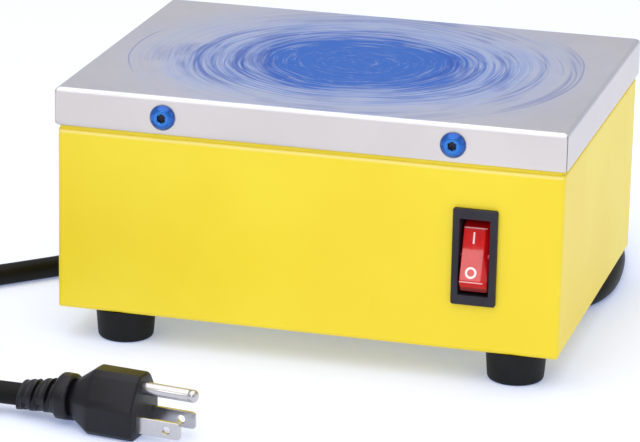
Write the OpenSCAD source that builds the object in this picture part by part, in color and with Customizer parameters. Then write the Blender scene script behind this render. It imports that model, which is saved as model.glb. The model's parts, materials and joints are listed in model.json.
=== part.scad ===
// Drive base of a bench-top magnetic tumbler: a closed sheet-metal box with a plain
// top plate, on four rubber feet. A motor inside turns a disc of magnets under the plate.
// Millimetres. The origin is on the table, under the middle of the top plate;
// +X is to the right, +Y to the back and +Z up.

/* [Case] */
// Width of the top cover
cover_w = 200; // [194:1:206]
// Depth of the top cover
cover_d = 149; // [146:1:154]
// Height of the top face above the table
cover_z = 101.5; // [100:0.5:108]
// Height of the flange folded down all round the cover
flange_h = 15; // [13:0.5:17]
// Sheet thickness of the cover
cover_t = 1; // [0.8:0.1:1]
// Sheet thickness of the tray
tray_t = 1.2; // [1:0.1:1.2]
// Outside radius of the cover's long bends
cover_bend = 2; // [1.5:0.1:2.5]

/* [Feet] */
// Height of the rubber feet
foot_h = 12.5; // [12:0.5:13.5]
// Diameter of a foot at its top
foot_d_top = 23.4; // [21:0.1:25]
// Diameter of a foot near the table
foot_d_low = 21.7; // [20:0.1:24]
// Distance of the feet from the middle, left and right
foot_x = 78; // [74:0.5:82]
// Distance of the feet from the middle, front and back
foot_y = 62; // [60:0.5:62]
// How far the front pair of feet sits to the right of the middle
foot_shift = 3; // [0:0.5:3]

/* [Cover screws] */
// Distance of each screw from the middle
screw_x = 56.6; // [52:0.2:60]
// Depth of the screws below the top face
screw_drop = 8.2; // [7.8:0.1:8.6]
// Diameter of the button heads
screw_head_d = 10; // [9:0.1:10.5]

/* [Switch] */
// Distance of the switch to the right of the middle
switch_x = 66.4; // [66:0.2:70]
// Height of the switch's middle above the table
switch_z = 50.5; // [46:0.5:54]
// Width of the bezel
bezel_w = 17.2; // [16.6:0.1:18]
// Height of the bezel
bezel_h = 37.8; // [36.6:0.1:39]
// Full tilt of the rocker, from on to off
rocker_travel = 34; // [24:1:34]

/* [Motor and magnets] */
// Diameter of the motor's can
motor_d = 72; // [70:0.5:74]
// Diameter of the spindle
shaft_d = 8; // [7.8:0.1:8]
// Diameter of the disc that carries the magnets
disc_d = 120; // [116:1:124]
// Thickness of that disc
disc_t = 8; // [7.5:0.5:9]
// Number of magnets in the disc
magnet_n = 6; // [4:2:8]
// Gap between the disc and the cover above it
magnet_gap = 4.5; // [4:0.5:5]

/* [Power cord] */
// Diameter of the cord
cord_d = 8.5; // [8:0.1:8.5]
// Ring radius at the middle of the coil's turns
coil_mid_r = 44; // [42:0.5:46]

/* [Hidden] */
$fn = 64;

yellow = [0.95, 0.82, 0.16];
steel = [0.74, 0.75, 0.77];
bright_steel = [0.84, 0.84, 0.86];
screw_blue = [0.10, 0.36, 0.72];
black_plastic = [0.13, 0.13, 0.14];
rubber_black = [0.10, 0.10, 0.10];
lamp_red = [0.78, 0.10, 0.10];
copper = [0.72, 0.43, 0.20];
aluminium = [0.80, 0.81, 0.83];
white_plastic = [0.90, 0.90, 0.87];
eps = 0.1;  // how far a cutting solid runs past the face it cuts

// Tray: its lower wall is flush under the cover's flange, and its rim steps in to sit inside it
tray_inset = 0.8;
tray_w = cover_w - 2 * tray_inset;
tray_d = cover_d - 2 * tray_inset;
tray_corner_r = 2;
tray_bend = 1.8;
rim_clearance = 0.4;
rim_w = cover_w - 2 * (cover_t + rim_clearance);
rim_d = cover_d - 2 * (cover_t + rim_clearance);
floor_z = foot_h + tray_t;
shoulder_z = cover_z - flange_h - 1;
rim_top = cover_z - cover_t - 0.5;
front_y = -tray_d / 2;

// Screws
m5_r = 2.5;
m4_r = 2;
m4_clear_r = 2.2;
screw_z = cover_z - screw_drop;
button_head_h = 2.75;
button_socket = 3;
clinch_r = 4.6;
clinch_pilot_r = 3.4;
clinch_h = 5;

// Vents
vent_w = 3.2;
vent_pitch = 8;
rear_vent_x = -48;
rear_vent_z = 50;
rear_vent_l = 30;
floor_vent_l = 44;

// Feet
foot_counterbore_r = 4.6;
foot_seat_z = 6;

// Switch
bezel_t = 1.8;
window_w = 11.6;
window_h = 29.8;
barrel_w = 13.8;
barrel_h = 32.6;
barrel_depth = 20.7;
cavity_depth = 15.7;
cutout_gap = 0.2;
pivot_y = front_y + 1.3;
rocker_face = 2.75;  // the rocker's depths are from its pivot: face in front, waist and back behind
rocker_waist = 1.1;
rocker_back = 4.5;
rocker_face_w = 8.5;
rocker_w = 10.8;
rocker_face_h = 20.8;
rocker_h = 27.3;
stub_r = 1.5;
stub_gap = 0.05;
stub_reach = 6.8;
lamp_r = 1.9;
terminal_zs = [-9, 0, 9];

// Bracket and posts
post_xy = 48;
post_top = 58;
bracket_t = 2;
bracket_side = 112;

// Motor, hung under the bracket
can_t = 1.5;
bell_t = 4;
bell_boss_r = 14;
bearing_r = 11;
bearing_h = 7;
race_t = 2;
ball_ring_r = 7.5;
ball_r = 1.35;
ball_n = 7;
upper_bell_z = post_top - bell_t;
lower_bell_z = floor_z + 11.3;
can_low = lower_bell_z + bell_t;
upper_bearing_z = upper_bell_z - 4;
lower_bearing_z = lower_bell_z + 2;
mount_screw_r = 30;
stator_bore_r = 19.2;
stator_low = can_low + 5;
stator_high = upper_bell_z - 4;
rotor_r = 18.8;

// Spindle, with the fan below the motor and the magnet disc above the bracket
shaft_r = shaft_d / 2;
shaft_low = floor_z + 1.3;
fan_z = floor_z + 3.3;
fan_h = 7;
fan_r = 32;
fan_hub_r = 8;
fan_blades = 9;
disc_top = cover_z - cover_t - magnet_gap;
disc_low = disc_top - disc_t;
hub_flange_r = 22;
hub_flange_t = 4;
hub_r = 9;
hub_h = 18;
disc_screw_r = 15;
magnet_r = 10;
magnet_ring_r = disc_d / 2 - 15;
magnet_t = 6;

// Parts on the tray's floor
cap_size = [20, 38, 30];
cap_xy = [-80, 18];
strap_t = 1;
block_size = [34, 18, 15];
block_xy = [76, 40];
earth_xy = [36, 62];

// Mains inlet in the rear wall
inlet_x = 10;
inlet_z = 30;
gland_r = 6.4;
boot_l = 32;

// Route of the cord: from the gland down behind the case, round the rear right foot,
// under the case between the feet, and out on the left to the coil
cord_r = cord_d / 2;
inlet_y = tray_d / 2 + boot_l;
route_to_coil = [
    [10, 105.7, 30], [10, 119, 29.3], [13.5, 134, 27], [22.5, 146.5, 22.5], [36, 154, 16.5], [51.5, 154, 11],
    [65.5, 147.5, 7], [76, 136, 5], [82, 121.5, 4.3], [86.2, 106.5, 4.3], [90.2, 92, 4.3], [93.2, 77, 4.3],
    [94.8, 62, 4.3], [95, 46.5, 4.3], [91.8, 31.5, 4.3], [83.5, 19.2, 4.3], [71, 11.3, 4.3], [56, 9.4, 4.3],
    [38, 11.4, 4.3], [20, 15.2, 4.3], [2, 20, 4.3], [-16, 24.8, 4.3], [-34, 29, 4.3], [-52, 31.4, 4.3],
    [-70, 31.4, 4.3], [-87, 26.4, 4.3], [-102, 16.9, 4.3], [-116.5, 4.9, 4.3], [-130, -8.5, 4.3],
    [-144, -22.3, 4.3], [-158, -36, 4.3], [-172, -49.6, 4.3], [-186, -63.2, 4.4], [-199, -76, 4.8], [-211, -88, 5.1]
];
coil_xy = [-174, -125];
coil_half = 1.5 * cord_d;
coil_lift = 0.8;
coil_h = 16.2;
tie_t = 0.8;
tie_w = 12;
tie_angle = 215;
route_to_plug = [[-137, -161.5, 13.4], [-124, -160.5, 12], [-110.6, -159.3, 9.8], [-97.3, -157.7, 7.9], [-84.3, -156, 7]];

// Three-pin plug, lying on the table in front of the case
plug_xy = [-34.6, -163];
plug_turn = -8;
plug_l = 18.5;
plug_section = [[-9.5, 0], [9.5, 0], [11.5, 2], [11.5, 11], [10.6, 13.5], [5.5, 21.5], [3.5, 23],
                [-3.5, 23], [-5.5, 21.5], [-10.6, 13.5], [-11.5, 11], [-11.5, 2]];
collar_x = -34;
collar_r = 9;
collar_w = 6;
neck_z = 9.2;
neck_tilt = 7.8;
neck_l = 16.2;
blade_size = [17.5, 1.52, 6.35];
blade_pitch = 12.7;
blade_z = 5.8;
blade_hole_from_tip = 5.6;
pin_r = 2.4;
pin_l = 21;
pin_above_blades = 11.9;
socket_l = 8;  // how far the metal goes on inside the moulding

// ---------- shared shapes ----------

// A rectangle about the origin with round corners
module round_rect(w, d, r) {
    square([w - 2 * r, d], center = true);
    square([w, d - 2 * r], center = true);
    for (x = [-1, 1], y = [-1, 1]) translate([x * (w / 2 - r), y * (d / 2 - r)]) circle(r);
}

// A block from z0 to z1 with its four lower edges rounded by r, and its upright ones by corner
module tub(w, d, z0, z1, r, corner) {
    h = z1 - z0;
    intersection() {
        translate([0, 0, z0]) linear_extrude(h) round_rect(w, d, corner);
        translate([0, 0, z0 + h]) rotate([90, 0, 0])
            linear_extrude(d + 2, center = true) round_rect(w, 2 * h, r);
        translate([0, 0, z0 + h]) rotate([90, 0, 90])
            linear_extrude(w + 2, center = true) round_rect(d, 2 * h, r);
    }
}

// The same block upside down: its four upper edges are rounded
module cap_block(w, d, z0, z1, r, corner) {
    translate([0, 0, z0 + z1]) mirror([0, 0, 1]) tub(w, d, z0, z1, r, corner);
}

// A slot with round ends, centred, long side along Y, cut along Z
module slot(w, l, h) {
    linear_extrude(h, center = true) {
        square([w, l - w], center = true);
        for (s = [-1, 1]) translate([0, s * (l - w) / 2]) circle(w / 2);
    }
}

module tube(outer_r, inner_r, h) {
    difference() {
        cylinder(r = outer_r, h = h);
        translate([0, 0, -eps]) cylinder(r = inner_r, h = h + 2 * eps);
    }
}

module at_corners(x, y) {
    for (sx = [-1, 1], sy = [-1, 1]) translate([sx * x, sy * y, 0]) children();
}

module at_feet() {
    for (sx = [-1, 1], sy = [-1, 1])
        translate([sx * foot_x + (sy < 0 ? foot_shift : 0), sy * foot_y, 0]) children();
}

module ring_of(n, r, start = 0) {
    for (i = [0 : n - 1]) rotate(start + i * 360 / n) translate([r, 0, 0]) children();
}

// A pan-head screw that points down, with its head standing on z = 0
module pan_screw(shank_r, l, head_r, head_h) {
    difference() {
        union() {
            translate([0, 0, -l]) cylinder(r = shank_r, h = l);
            cylinder(r = head_r, h = head_h * 0.6);
            cylinder(r = head_r * 0.8, h = head_h);
        }
        translate([0, 0, head_h * 0.45]) for (a = [0, 90]) rotate(a)
            translate([-head_r * 0.5, -0.4, 0]) cube([head_r, 0.8, head_h]);
    }
}

module hex_nut(across, h, hole_r) {
    difference() {
        cylinder(r = across / sqrt(3), h = h, $fn = 6);
        translate([0, 0, -eps]) cylinder(r = hole_r, h = h + 2 * eps);
    }
}

function unit(v) = v / norm(v);
function heading(p, i) = unit(p[min(i + 1, len(p) - 1)] - p[max(i - 1, 0)]);
function hoop(c, t, r, n, ref) =
    let (side = unit(cross(t, ref)), up = cross(side, t))
    [for (k = [0 : n - 1]) c + r * (cos(k * 360 / n) * side + sin(k * 360 / n) * up)];

// A round bar that follows the points p; ref is any direction that the route never runs along
module swept(p, r, n = 8, ref = [0, 0, 1]) {
    last = len(p) - 1;
    points = [for (i = [0 : last]) each hoop(p[i], heading(p, i), r, n, ref)];
    faces = [
        [for (k = [n - 1 : -1 : 0]) k],
        for (i = [0 : last - 1], k = [0 : n - 1])
            [i * n + k, i * n + (k + 1) % n, (i + 1) * n + (k + 1) % n, (i + 1) * n + k],
        [for (k = [0 : n - 1]) last * n + k]
    ];
    polyhedron(points, faces);
}

// ---------- case ----------

module case_tray() {
    color(yellow) difference() {
        union() {
            difference() {
                intersection() {
                    tub(tray_w, tray_d, foot_h, shoulder_z, tray_bend, tray_corner_r);
                    cap_block(tray_w, tray_d, foot_h, shoulder_z, tray_bend, tray_corner_r);
                }
                tub(tray_w - 2 * tray_t, tray_d - 2 * tray_t, floor_z, shoulder_z + 5, tray_bend - tray_t,
                    tray_corner_r - tray_t);
            }
            difference() {
                translate([0, 0, shoulder_z - tray_t])
                    linear_extrude(rim_top - shoulder_z + tray_t) round_rect(rim_w, rim_d, 1.6);
                translate([0, 0, shoulder_z - tray_t - eps])
                    linear_extrude(rim_top) round_rect(rim_w - 2 * tray_t, rim_d - 2 * tray_t, 0.4);
            }
        }
        translate([switch_x, front_y, switch_z])
            cube([barrel_w + 2 * cutout_gap, 4 * tray_t, barrel_h + 2 * cutout_gap], center = true);
        translate([inlet_x, tray_d / 2 + 1, inlet_z]) rotate([90, 0, 0]) cylinder(r = gland_r, h = 4);
        for (i = [-3 : 3]) translate([rear_vent_x + i * vent_pitch, tray_d / 2, rear_vent_z])
            rotate([90, 0, 0]) slot(vent_w, rear_vent_l, 4 * tray_t);
        for (i = [-3 : 3]) translate([i * vent_pitch, 0, foot_h]) slot(vent_w, floor_vent_l, 4 * tray_t);
        for (s = [-1, 1], x = [-1, 1]) translate([x * screw_x, s * rim_d / 2, screw_z])
            rotate([90, 0, 0]) cylinder(r = clinch_pilot_r, h = 4 * tray_t, center = true);
        at_feet() translate([0, 0, foot_h - eps]) cylinder(r = m4_r, h = tray_t + 2 * eps);
        at_corners(post_xy, post_xy) translate([0, 0, foot_h - eps]) cylinder(r = m4_r, h = tray_t + 2 * eps);
        translate([earth_xy.x, earth_xy.y, foot_h - eps]) cylinder(r = m4_r, h = tray_t + 2 * eps);
    }
}

module top_cover() {
    seam = 0.5;
    color(steel) difference() {
        cap_block(cover_w, cover_d, cover_z - flange_h, cover_z, cover_bend, 0.8);
        cap_block(cover_w - 2 * cover_t, cover_d - 2 * cover_t, cover_z - flange_h - 5, cover_z - cover_t,
                  cover_bend - cover_t, 0.3);
        for (s = [-1, 1], x = [-1, 1]) translate([x * screw_x, s * cover_d / 2, screw_z])
            rotate([90, 0, 0]) cylinder(r = m5_r + 0.3, h = 4 * cover_t, center = true);
        at_corners(cover_w / 2, cover_d / 2) translate([0, 0, cover_z - flange_h - eps]) rotate(45)
            translate([-seam / 2, -3, 0]) cube([seam, 6, flange_h - cover_bend]);
    }
}

// A hex-socket button-head screw whose head stands on z = 0 and whose shank points down
module button_screw(l) {
    head_r = screw_head_d / 2;
    dome_r = (head_r * head_r + button_head_h * button_head_h) / (2 * button_head_h);
    difference() {
        union() {
            intersection() {
                cylinder(r = head_r, h = button_head_h);
                translate([0, 0, button_head_h - dome_r]) sphere(dome_r);
            }
            translate([0, 0, -l]) cylinder(r = m5_r, h = l);
        }
        translate([0, 0, button_head_h - 1.7]) cylinder(r = button_socket / sqrt(3), h = 5, $fn = 6);
    }
}

module cover_screws() {
    color(screw_blue) for (turn = [0, 180], x = [-1, 1]) rotate(turn)
        translate([x * screw_x, -cover_d / 2, screw_z]) rotate([90, 0, 0]) button_screw(9);
}

module clinch_nuts() {
    pilot_l = tray_t;
    color(bright_steel) for (turn = [0, 180], x = [-1, 1]) rotate(turn)
        translate([x * screw_x, -rim_d / 2, screw_z]) rotate([-90, 0, 0]) difference() {
            union() {
                cylinder(r = clinch_pilot_r, h = pilot_l);
                translate([0, 0, pilot_l]) cylinder(r = clinch_r, h = clinch_h);
            }
            translate([0, 0, -eps]) cylinder(r = m5_r, h = clinch_h + pilot_l + 1);
        }
}

module rubber_feet() {
    top_r = foot_d_top / 2;
    low_r = foot_d_low / 2;
    color(rubber_black) at_feet() rotate_extrude() polygon([
        [foot_counterbore_r, 0], [low_r - 2, 0], [low_r - 0.6, 0.6], [low_r, 2], [top_r, foot_h],
        [m4_clear_r, foot_h], [m4_clear_r, foot_seat_z], [foot_counterbore_r, foot_seat_z]
    ]);
}

module foot_screws() {
    color(bright_steel) at_feet() translate([0, 0, foot_seat_z])
        rotate([180, 0, 0]) pan_screw(m4_r, floor_z + 4 - foot_seat_z, 4, 2.4);
}

module foot_nuts() {
    color(bright_steel) at_feet() translate([0, 0, floor_z]) hex_nut(7, 3.2, m4_r);
}

// ---------- motor support ----------

module bracket_posts() {
    color(bright_steel) at_corners(post_xy, post_xy) translate([0, 0, floor_z])
        hex_nut(8, post_top - floor_z, m4_r);
}

module post_screws() {
    color(bright_steel) at_corners(post_xy, post_xy) translate([0, 0, foot_h])
        rotate([180, 0, 0]) pan_screw(m4_r, 10, 3.8, 2.2);
}

module bracket_screws() {
    color(bright_steel) at_corners(post_xy, post_xy) translate([0, 0, post_top + bracket_t])
        pan_screw(m4_r, 10, 3.8, 2.4);
}

module motor_bracket() {
    color(steel) difference() {
        translate([0, 0, post_top]) linear_extrude(bracket_t) round_rect(bracket_side, bracket_side, 6);
        translate([0, 0, post_top - eps]) cylinder(r = bell_boss_r + 1, h = bracket_t + 1);
        ring_of(4, mount_screw_r, 45) translate([0, 0, post_top - eps]) cylinder(r = m4_clear_r, h = bracket_t + 1);
        at_corners(post_xy, post_xy) translate([0, 0, post_top - eps]) cylinder(r = m4_clear_r, h = bracket_t + 1);
        for (a = [0 : 90 : 270]) rotate(a) translate([0, 44, post_top]) rotate(90) slot(8, 40, 4 * bracket_t);
    }
}

// ---------- motor ----------

module motor_can() {
    color(steel) translate([0, 0, can_low]) tube(motor_d / 2, motor_d / 2 - can_t, upper_bell_z - can_low);
}

module upper_end_bell() {
    color(aluminium) difference() {
        union() {
            translate([0, 0, upper_bell_z]) cylinder(r = motor_d / 2, h = bell_t);
            translate([0, 0, upper_bearing_z]) cylinder(r = bell_boss_r, h = 11);
        }
        translate([0, 0, upper_bearing_z - eps]) cylinder(r = bearing_r, h = bearing_h + eps);
        translate([0, 0, upper_bearing_z]) cylinder(r = 8, h = 20);
        ring_of(4, mount_screw_r, 45) translate([0, 0, upper_bell_z - eps]) cylinder(r = m4_r, h = bell_t + 1);
        ring_of(6, 22) translate([0, 0, upper_bell_z]) rotate(90) slot(4, 9, 20);
    }
}

module lower_end_bell() {
    color(aluminium) difference() {
        union() {
            translate([0, 0, lower_bell_z]) cylinder(r = motor_d / 2, h = bell_t);
            translate([0, 0, lower_bell_z]) cylinder(r = bell_boss_r, h = bearing_h + 2);
        }
        translate([0, 0, lower_bearing_z]) cylinder(r = bearing_r, h = bearing_h + 1);
        translate([0, 0, lower_bell_z - eps]) cylinder(r = 8, h = 20);
        ring_of(6, 24) translate([0, 0, lower_bell_z]) rotate(90) slot(5, 12, 20);
    }
}

module motor_mount_screws() {
    color(bright_steel) ring_of(4, mount_screw_r, 45) translate([0, 0, post_top + bracket_t])
        pan_screw(m4_r, bracket_t + bell_t - 0.5, 3.8, 2.4);
}

module stator_core() {
    slots = 12;
    color(steel) difference() {
        translate([0, 0, stator_low]) tube(motor_d / 2 - can_t, stator_bore_r, stator_high - stator_low);
        ring_of(slots, 25) translate([0, 0, stator_low]) slot(5, 5.01, 80);
        ring_of(slots, 25) translate([-6, 0, stator_low]) cube([6, 2, 80], center = true);
    }
}

module stator_windings() {
    color(copper) for (z = [stator_low - 3.5, stator_high]) translate([0, 0, z]) tube(29.5, 20.6, 3.5);
}

module bearing_outer(z) {
    color(bright_steel) translate([0, 0, z]) tube(bearing_r, bearing_r - race_t, bearing_h);
}

module bearing_balls(z) {
    color(bright_steel) ring_of(ball_n, ball_ring_r) translate([0, 0, z + bearing_h / 2]) sphere(ball_r);
}

module bearing_inner(z) {
    color(bright_steel) translate([0, 0, z]) tube(shaft_r + race_t, shaft_r, bearing_h);
}

module upper_bearing_outer() { bearing_outer(upper_bearing_z); }
module upper_bearing_balls() { bearing_balls(upper_bearing_z); }
module upper_bearing_inner() { bearing_inner(upper_bearing_z); }
module lower_bearing_outer() { bearing_outer(lower_bearing_z); }
module lower_bearing_balls() { bearing_balls(lower_bearing_z); }
module lower_bearing_inner() { bearing_inner(lower_bearing_z); }

// ---------- spindle ----------

module spindle_shaft() {
    groove_z = fan_z - 0.9;
    color(bright_steel) difference() {
        translate([0, 0, shaft_low]) cylinder(r = shaft_r, h = disc_top - 2 - shaft_low);
        translate([0, 0, groove_z]) tube(shaft_r + 1, shaft_r - 0.6, 0.9);
    }
}

module shaft_clip() {
    color(bright_steel) translate([0, 0, fan_z - 0.9]) difference() {
        tube(shaft_r + 2.5, shaft_r - 0.6, 0.9);
        translate([0, -2, -eps]) cube([20, 4, 2]);
    }
}

module rotor_core() {
    bars = 16;
    color(steel) difference() {
        translate([0, 0, stator_low + 1]) tube(rotor_r, shaft_r, stator_high - stator_low - 2);
        ring_of(bars, rotor_r - 3) translate([0, 0, stator_low]) cylinder(r = 1.1, h = 40);
    }
}

module cooling_fan() {
    disc_h = 1.4;
    color(white_plastic) translate([0, 0, fan_z]) difference() {
        union() {
            cylinder(r = fan_hub_r, h = fan_h);
            cylinder(r = fan_r, h = disc_h);
            ring_of(fan_blades, fan_hub_r - 1) translate([0, -0.7, disc_h / 2])
                cube([fan_r - fan_hub_r - 1, 1.4, fan_h - disc_h]);
        }
        translate([0, 0, -eps]) cylinder(r = shaft_r, h = fan_h + 1);
    }
}

module magnet_hub() {
    color(aluminium) difference() {
        union() {
            translate([0, 0, disc_low - hub_h]) cylinder(r = hub_r, h = hub_h);
            translate([0, 0, disc_low - hub_flange_t]) cylinder(r = hub_flange_r, h = hub_flange_t);
        }
        translate([0, 0, disc_low - hub_h - eps]) cylinder(r = shaft_r, h = hub_h + 1);
        ring_of(4, disc_screw_r) translate([0, 0, disc_low - hub_flange_t - eps]) cylinder(r = m4_r, h = 10);
        for (a = [45, 135]) rotate(a) translate([shaft_r, 0, disc_low - hub_h + 6])
            rotate([0, 90, 0]) cylinder(r = m4_r, h = 20);
    }
}

module hub_set_screws() {
    color(bright_steel) for (a = [45, 135]) rotate(a)
        translate([shaft_r + 0.15, 0, disc_low - hub_h + 6]) rotate([0, 90, 0]) difference() {
            cylinder(r = m4_r, h = hub_r - shaft_r - 0.4);
            translate([0, 0, 2]) cylinder(r = 1.15, h = 5, $fn = 6);
        }
}

module magnet_disc() {
    color(aluminium) difference() {
        translate([0, 0, disc_low]) cylinder(r = disc_d / 2, h = disc_t);
        translate([0, 0, disc_low - eps]) cylinder(r = shaft_r, h = disc_t + 1);
        ring_of(magnet_n, magnet_ring_r) translate([0, 0, disc_top - magnet_t]) cylinder(r = magnet_r, h = 20);
        ring_of(4, disc_screw_r) translate([0, 0, disc_low - eps]) cylinder(r = m4_clear_r, h = 20);
        ring_of(4, disc_screw_r) translate([0, 0, disc_top - 3]) cylinder(r = 4, h = 20);
    }
}

module disc_screws() {
    color(bright_steel) ring_of(4, disc_screw_r) translate([0, 0, disc_top - 3])
        pan_screw(m4_r, disc_t - 3 + hub_flange_t - 0.5, 3.8, 2.4);
}

module drive_magnets() {
    color(bright_steel) ring_of(magnet_n, magnet_ring_r)
        translate([0, 0, disc_top - magnet_t]) cylinder(r = magnet_r, h = magnet_t + 0.3);
}

// ---------- switch ----------

module switch_housing() {
    color(black_plastic) translate([switch_x, front_y, switch_z]) difference() {
        union() {
            rotate([90, 0, 0]) linear_extrude(bezel_t) round_rect(bezel_w, bezel_h, 1.2);
            translate([-barrel_w / 2, 0, -barrel_h / 2]) cube([barrel_w, barrel_depth, barrel_h]);
        }
        translate([-window_w / 2, -bezel_t - eps, -window_h / 2]) cube([window_w, cavity_depth + bezel_t, window_h]);
        translate([0, pivot_y - front_y, 0]) rotate([0, 90, 0])
            cylinder(r = stub_r + stub_gap, h = 2 * stub_reach + 0.2, center = true);
        for (z = terminal_zs) translate([-3.15, cavity_depth - 1, z - 0.4]) cube([6.3, 20, 0.8]);
    }
}

// Half of the rocker's outline, as [distance from the pivot, depth], from the face to the back
function rocker_side(face, full, back) = [[face / 2, -rocker_face], [full / 2, rocker_waist], [back / 2, rocker_back]];

// The whole outline: that half, and its mirror image in reverse
function both_sides(half) = concat(half, [for (i = [len(half) - 1 : -1 : 0]) [-half[i].x, half[i].y]]);

// Puts children at the pivot, turned to the on position: the top is pressed in and the foot stands out
module at_rocker() {
    translate([switch_x, pivot_y, switch_z]) rotate([-rocker_travel / 2, 0, 0]) children();
}

module switch_rocker() {
    color(lamp_red) at_rocker() {
        difference() {
            intersection() {
                linear_extrude(rocker_h, center = true) polygon(both_sides(rocker_side(rocker_face_w, rocker_w, rocker_w)));
                rotate([0, -90, 0]) linear_extrude(rocker_w, center = true)
                    polygon(both_sides(rocker_side(rocker_face_h, rocker_h, rocker_h - 1.8)));
            }
            translate([-3.4, -1.2, -9]) cube([6.8, 20, 18]);
        }
        for (s = [-1, 1]) translate([s * (rocker_w / 2 - 0.6), 0, 0]) rotate([0, s * 90, 0])
            cylinder(r = stub_r, h = stub_reach - rocker_w / 2 + 0.6);
    }
}

module rocker_lamp() {
    color([0.95, 0.55, 0.35]) at_rocker() translate([0, lamp_r - 0.4, -5]) {
        cylinder(r = lamp_r, h = 8);
        translate([0, 0, 8]) sphere(lamp_r);
    }
}

module switch_terminals() {
    color(copper) for (z = terminal_zs) translate([switch_x - 3.15, front_y + cavity_depth - 0.9, switch_z + z - 0.4])
        difference() {
            cube([6.3, 13.5, 0.8]);
            translate([3.15, 10.5, -eps]) cylinder(r = 0.8, h = 1.2);
        }
}

// ---------- electrical parts on the floor of the tray ----------

module run_capacitor() {
    color(white_plastic) translate([cap_xy.x, cap_xy.y, floor_z]) {
        translate([0, 0, cap_size.z / 2]) cube(cap_size, center = true);
        for (y = [-6, 6]) translate([-3.15, y - 0.4, cap_size.z]) cube([6.3, 0.8, 7]);
    }
}

module capacitor_strap() {
    w = 14;
    foot_l = 9;
    color(steel) translate([cap_xy.x, cap_xy.y, floor_z]) rotate([90, 0, 0]) difference() {
        linear_extrude(w, center = true) difference() {
            union() {
                translate([-cap_size.x / 2 - strap_t, 0]) square([cap_size.x + 2 * strap_t, cap_size.z + strap_t]);
                translate([cap_size.x / 2, 0]) square([foot_l, strap_t]);
            }
            translate([-cap_size.x / 2, -1]) square([cap_size.x, cap_size.z + 1]);
        }
        translate([0, cap_size.z, 0]) cube([8, 4, 20], center = true);
    }
}

module terminal_block() {
    ways = 3;
    pitch = block_size.x / ways;
    color(white_plastic) translate([block_xy.x, block_xy.y, floor_z]) difference() {
        translate([0, 0, block_size.z / 2]) cube(block_size, center = true);
        for (i = [0 : ways - 1]) translate([(i - 1) * pitch, 0, 0]) {
            translate([0, 0, 5]) rotate([90, 0, 0]) cylinder(r = 1.8, h = block_size.y + 1, center = true);
            for (y = [-5, 5]) translate([0, y, 6]) cylinder(r = 2, h = 20);
        }
    }
}

module earth_stud() {
    color(copper) translate([earth_xy.x, earth_xy.y, foot_h]) cylinder(r = m4_r, h = 14);
}

module earth_nuts() {
    color(copper) translate([earth_xy.x, earth_xy.y, floor_z]) {
        hex_nut(7, 3, m4_r);
        translate([0, 0, 3.8]) hex_nut(7, 3, m4_r);
    }
}

module earth_lug() {
    color(copper) translate([earth_xy.x, earth_xy.y, floor_z + 3]) difference() {
        union() {
            cylinder(r = 4.2, h = 0.8);
            translate([-12, -1.6, 0]) cube([12, 3.2, 0.8]);
        }
        translate([0, 0, -eps]) cylinder(r = m4_r, h = 1.2);
    }
}

wire_r = 1.1;

module supply_wires() {
    y0 = inlet_y - boot_l - 15.2;
    lug = [earth_xy.x - 12.2, earth_xy.y, floor_z + 3.4];
    color([0.45, 0.30, 0.18]) swept([[inlet_x + 2.2, y0, inlet_z + 1.2], [22, 48, 34], [40, 38.5, 38],
        [56, 40, 34], [62, 50, 27], [64.7, 53, 22], [64.7, 50.4, floor_z + 5]], wire_r, ref = [0.4, -0.3, 0.9]);
    color([0.20, 0.35, 0.65]) swept([[inlet_x - 2.2, y0, inlet_z + 1.2], [14, 46, 39], [46, 38, 41], [66, 46, 37],
        [76, 54, 23], [76, 50.4, floor_z + 5]], wire_r, ref = [0.6, 0.75, 0.3]);
    color([0.35, 0.60, 0.20]) swept([[inlet_x, y0, inlet_z - 2], [14, 52, 24], [18, 56, 19], lug], wire_r, ref = [0, 1, 0.4]);
}

module switch_wires() {
    y_t = front_y + cavity_depth + 12.9;
    color([0.45, 0.30, 0.18]) swept([[64.7, 29.6, floor_z + 5], [64.7, 22, 22], [66, 0, 30], [67, -24, 38],
        [switch_x, y_t, switch_z - 9]], wire_r, ref = [1, 0, 0]);
    color([0.20, 0.35, 0.65]) swept([[76, 29.6, floor_z + 5], [76, 22, 23], [74, 0, 38], [70, -24, 56],
        [switch_x, y_t, switch_z + 9]], wire_r, ref = [1, 0, 0]);
}

module motor_leads() {
    color([0.15, 0.15, 0.16]) swept([[switch_x, front_y + cavity_depth + 12.9, switch_z], [62, -34, 50], [52, -26, 47],
        [motor_d / 2 + 0.3, -14, 45]], wire_r, ref = [0, 0, 1]);
    color([0.20, 0.35, 0.65]) swept([[87.3, 29.6, floor_z + 5], [87, 20, 24], [66, 10, 36], [motor_d / 2 + 0.6, 6, 42]],
        wire_r, ref = [0.2, 0, 1]);
}

module capacitor_leads() {
    z_c = floor_z + cap_size.z + 5;
    for (y = [-1, 1]) color([0.75, 0.15, 0.12]) swept([[cap_xy.x + 3.4, cap_xy.y + 6 * y, z_c], [-66, 16 + 4 * y, 52],
        [-50, 8 + 4 * y, 47], [-motor_d / 2 - 0.8, 4 * y, 44]], wire_r, ref = [0, 0, 1]);
}

// ---------- mains inlet and cord ----------

// Puts children at the gland's hole in the rear wall, with +Z pointing backwards
module at_inlet() {
    translate([inlet_x, tray_d / 2, inlet_z]) rotate([-90, 0, 0]) children();
}

module strain_relief() {
    tip_r = cord_r + 1.2;
    color(rubber_black) at_inlet() rotate_extrude() polygon([
        [cord_r, -9], [gland_r, -9], [gland_r, 0], [9, 0], [9, 3], [7.4, 4.2], [7.2, 9], [6.9, 16], [6.3, 24],
        [tip_r, boot_l], [cord_r, boot_l]
    ]);
}

module gland_nut() {
    color(black_plastic) at_inlet() translate([0, 0, -tray_t - 5]) hex_nut(19, 5, gland_r);
}

module cord_inner_end() {
    color(rubber_black) at_inlet() translate([0, 0, -15]) cylinder(r = cord_r, h = boot_l + 15);
}

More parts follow.
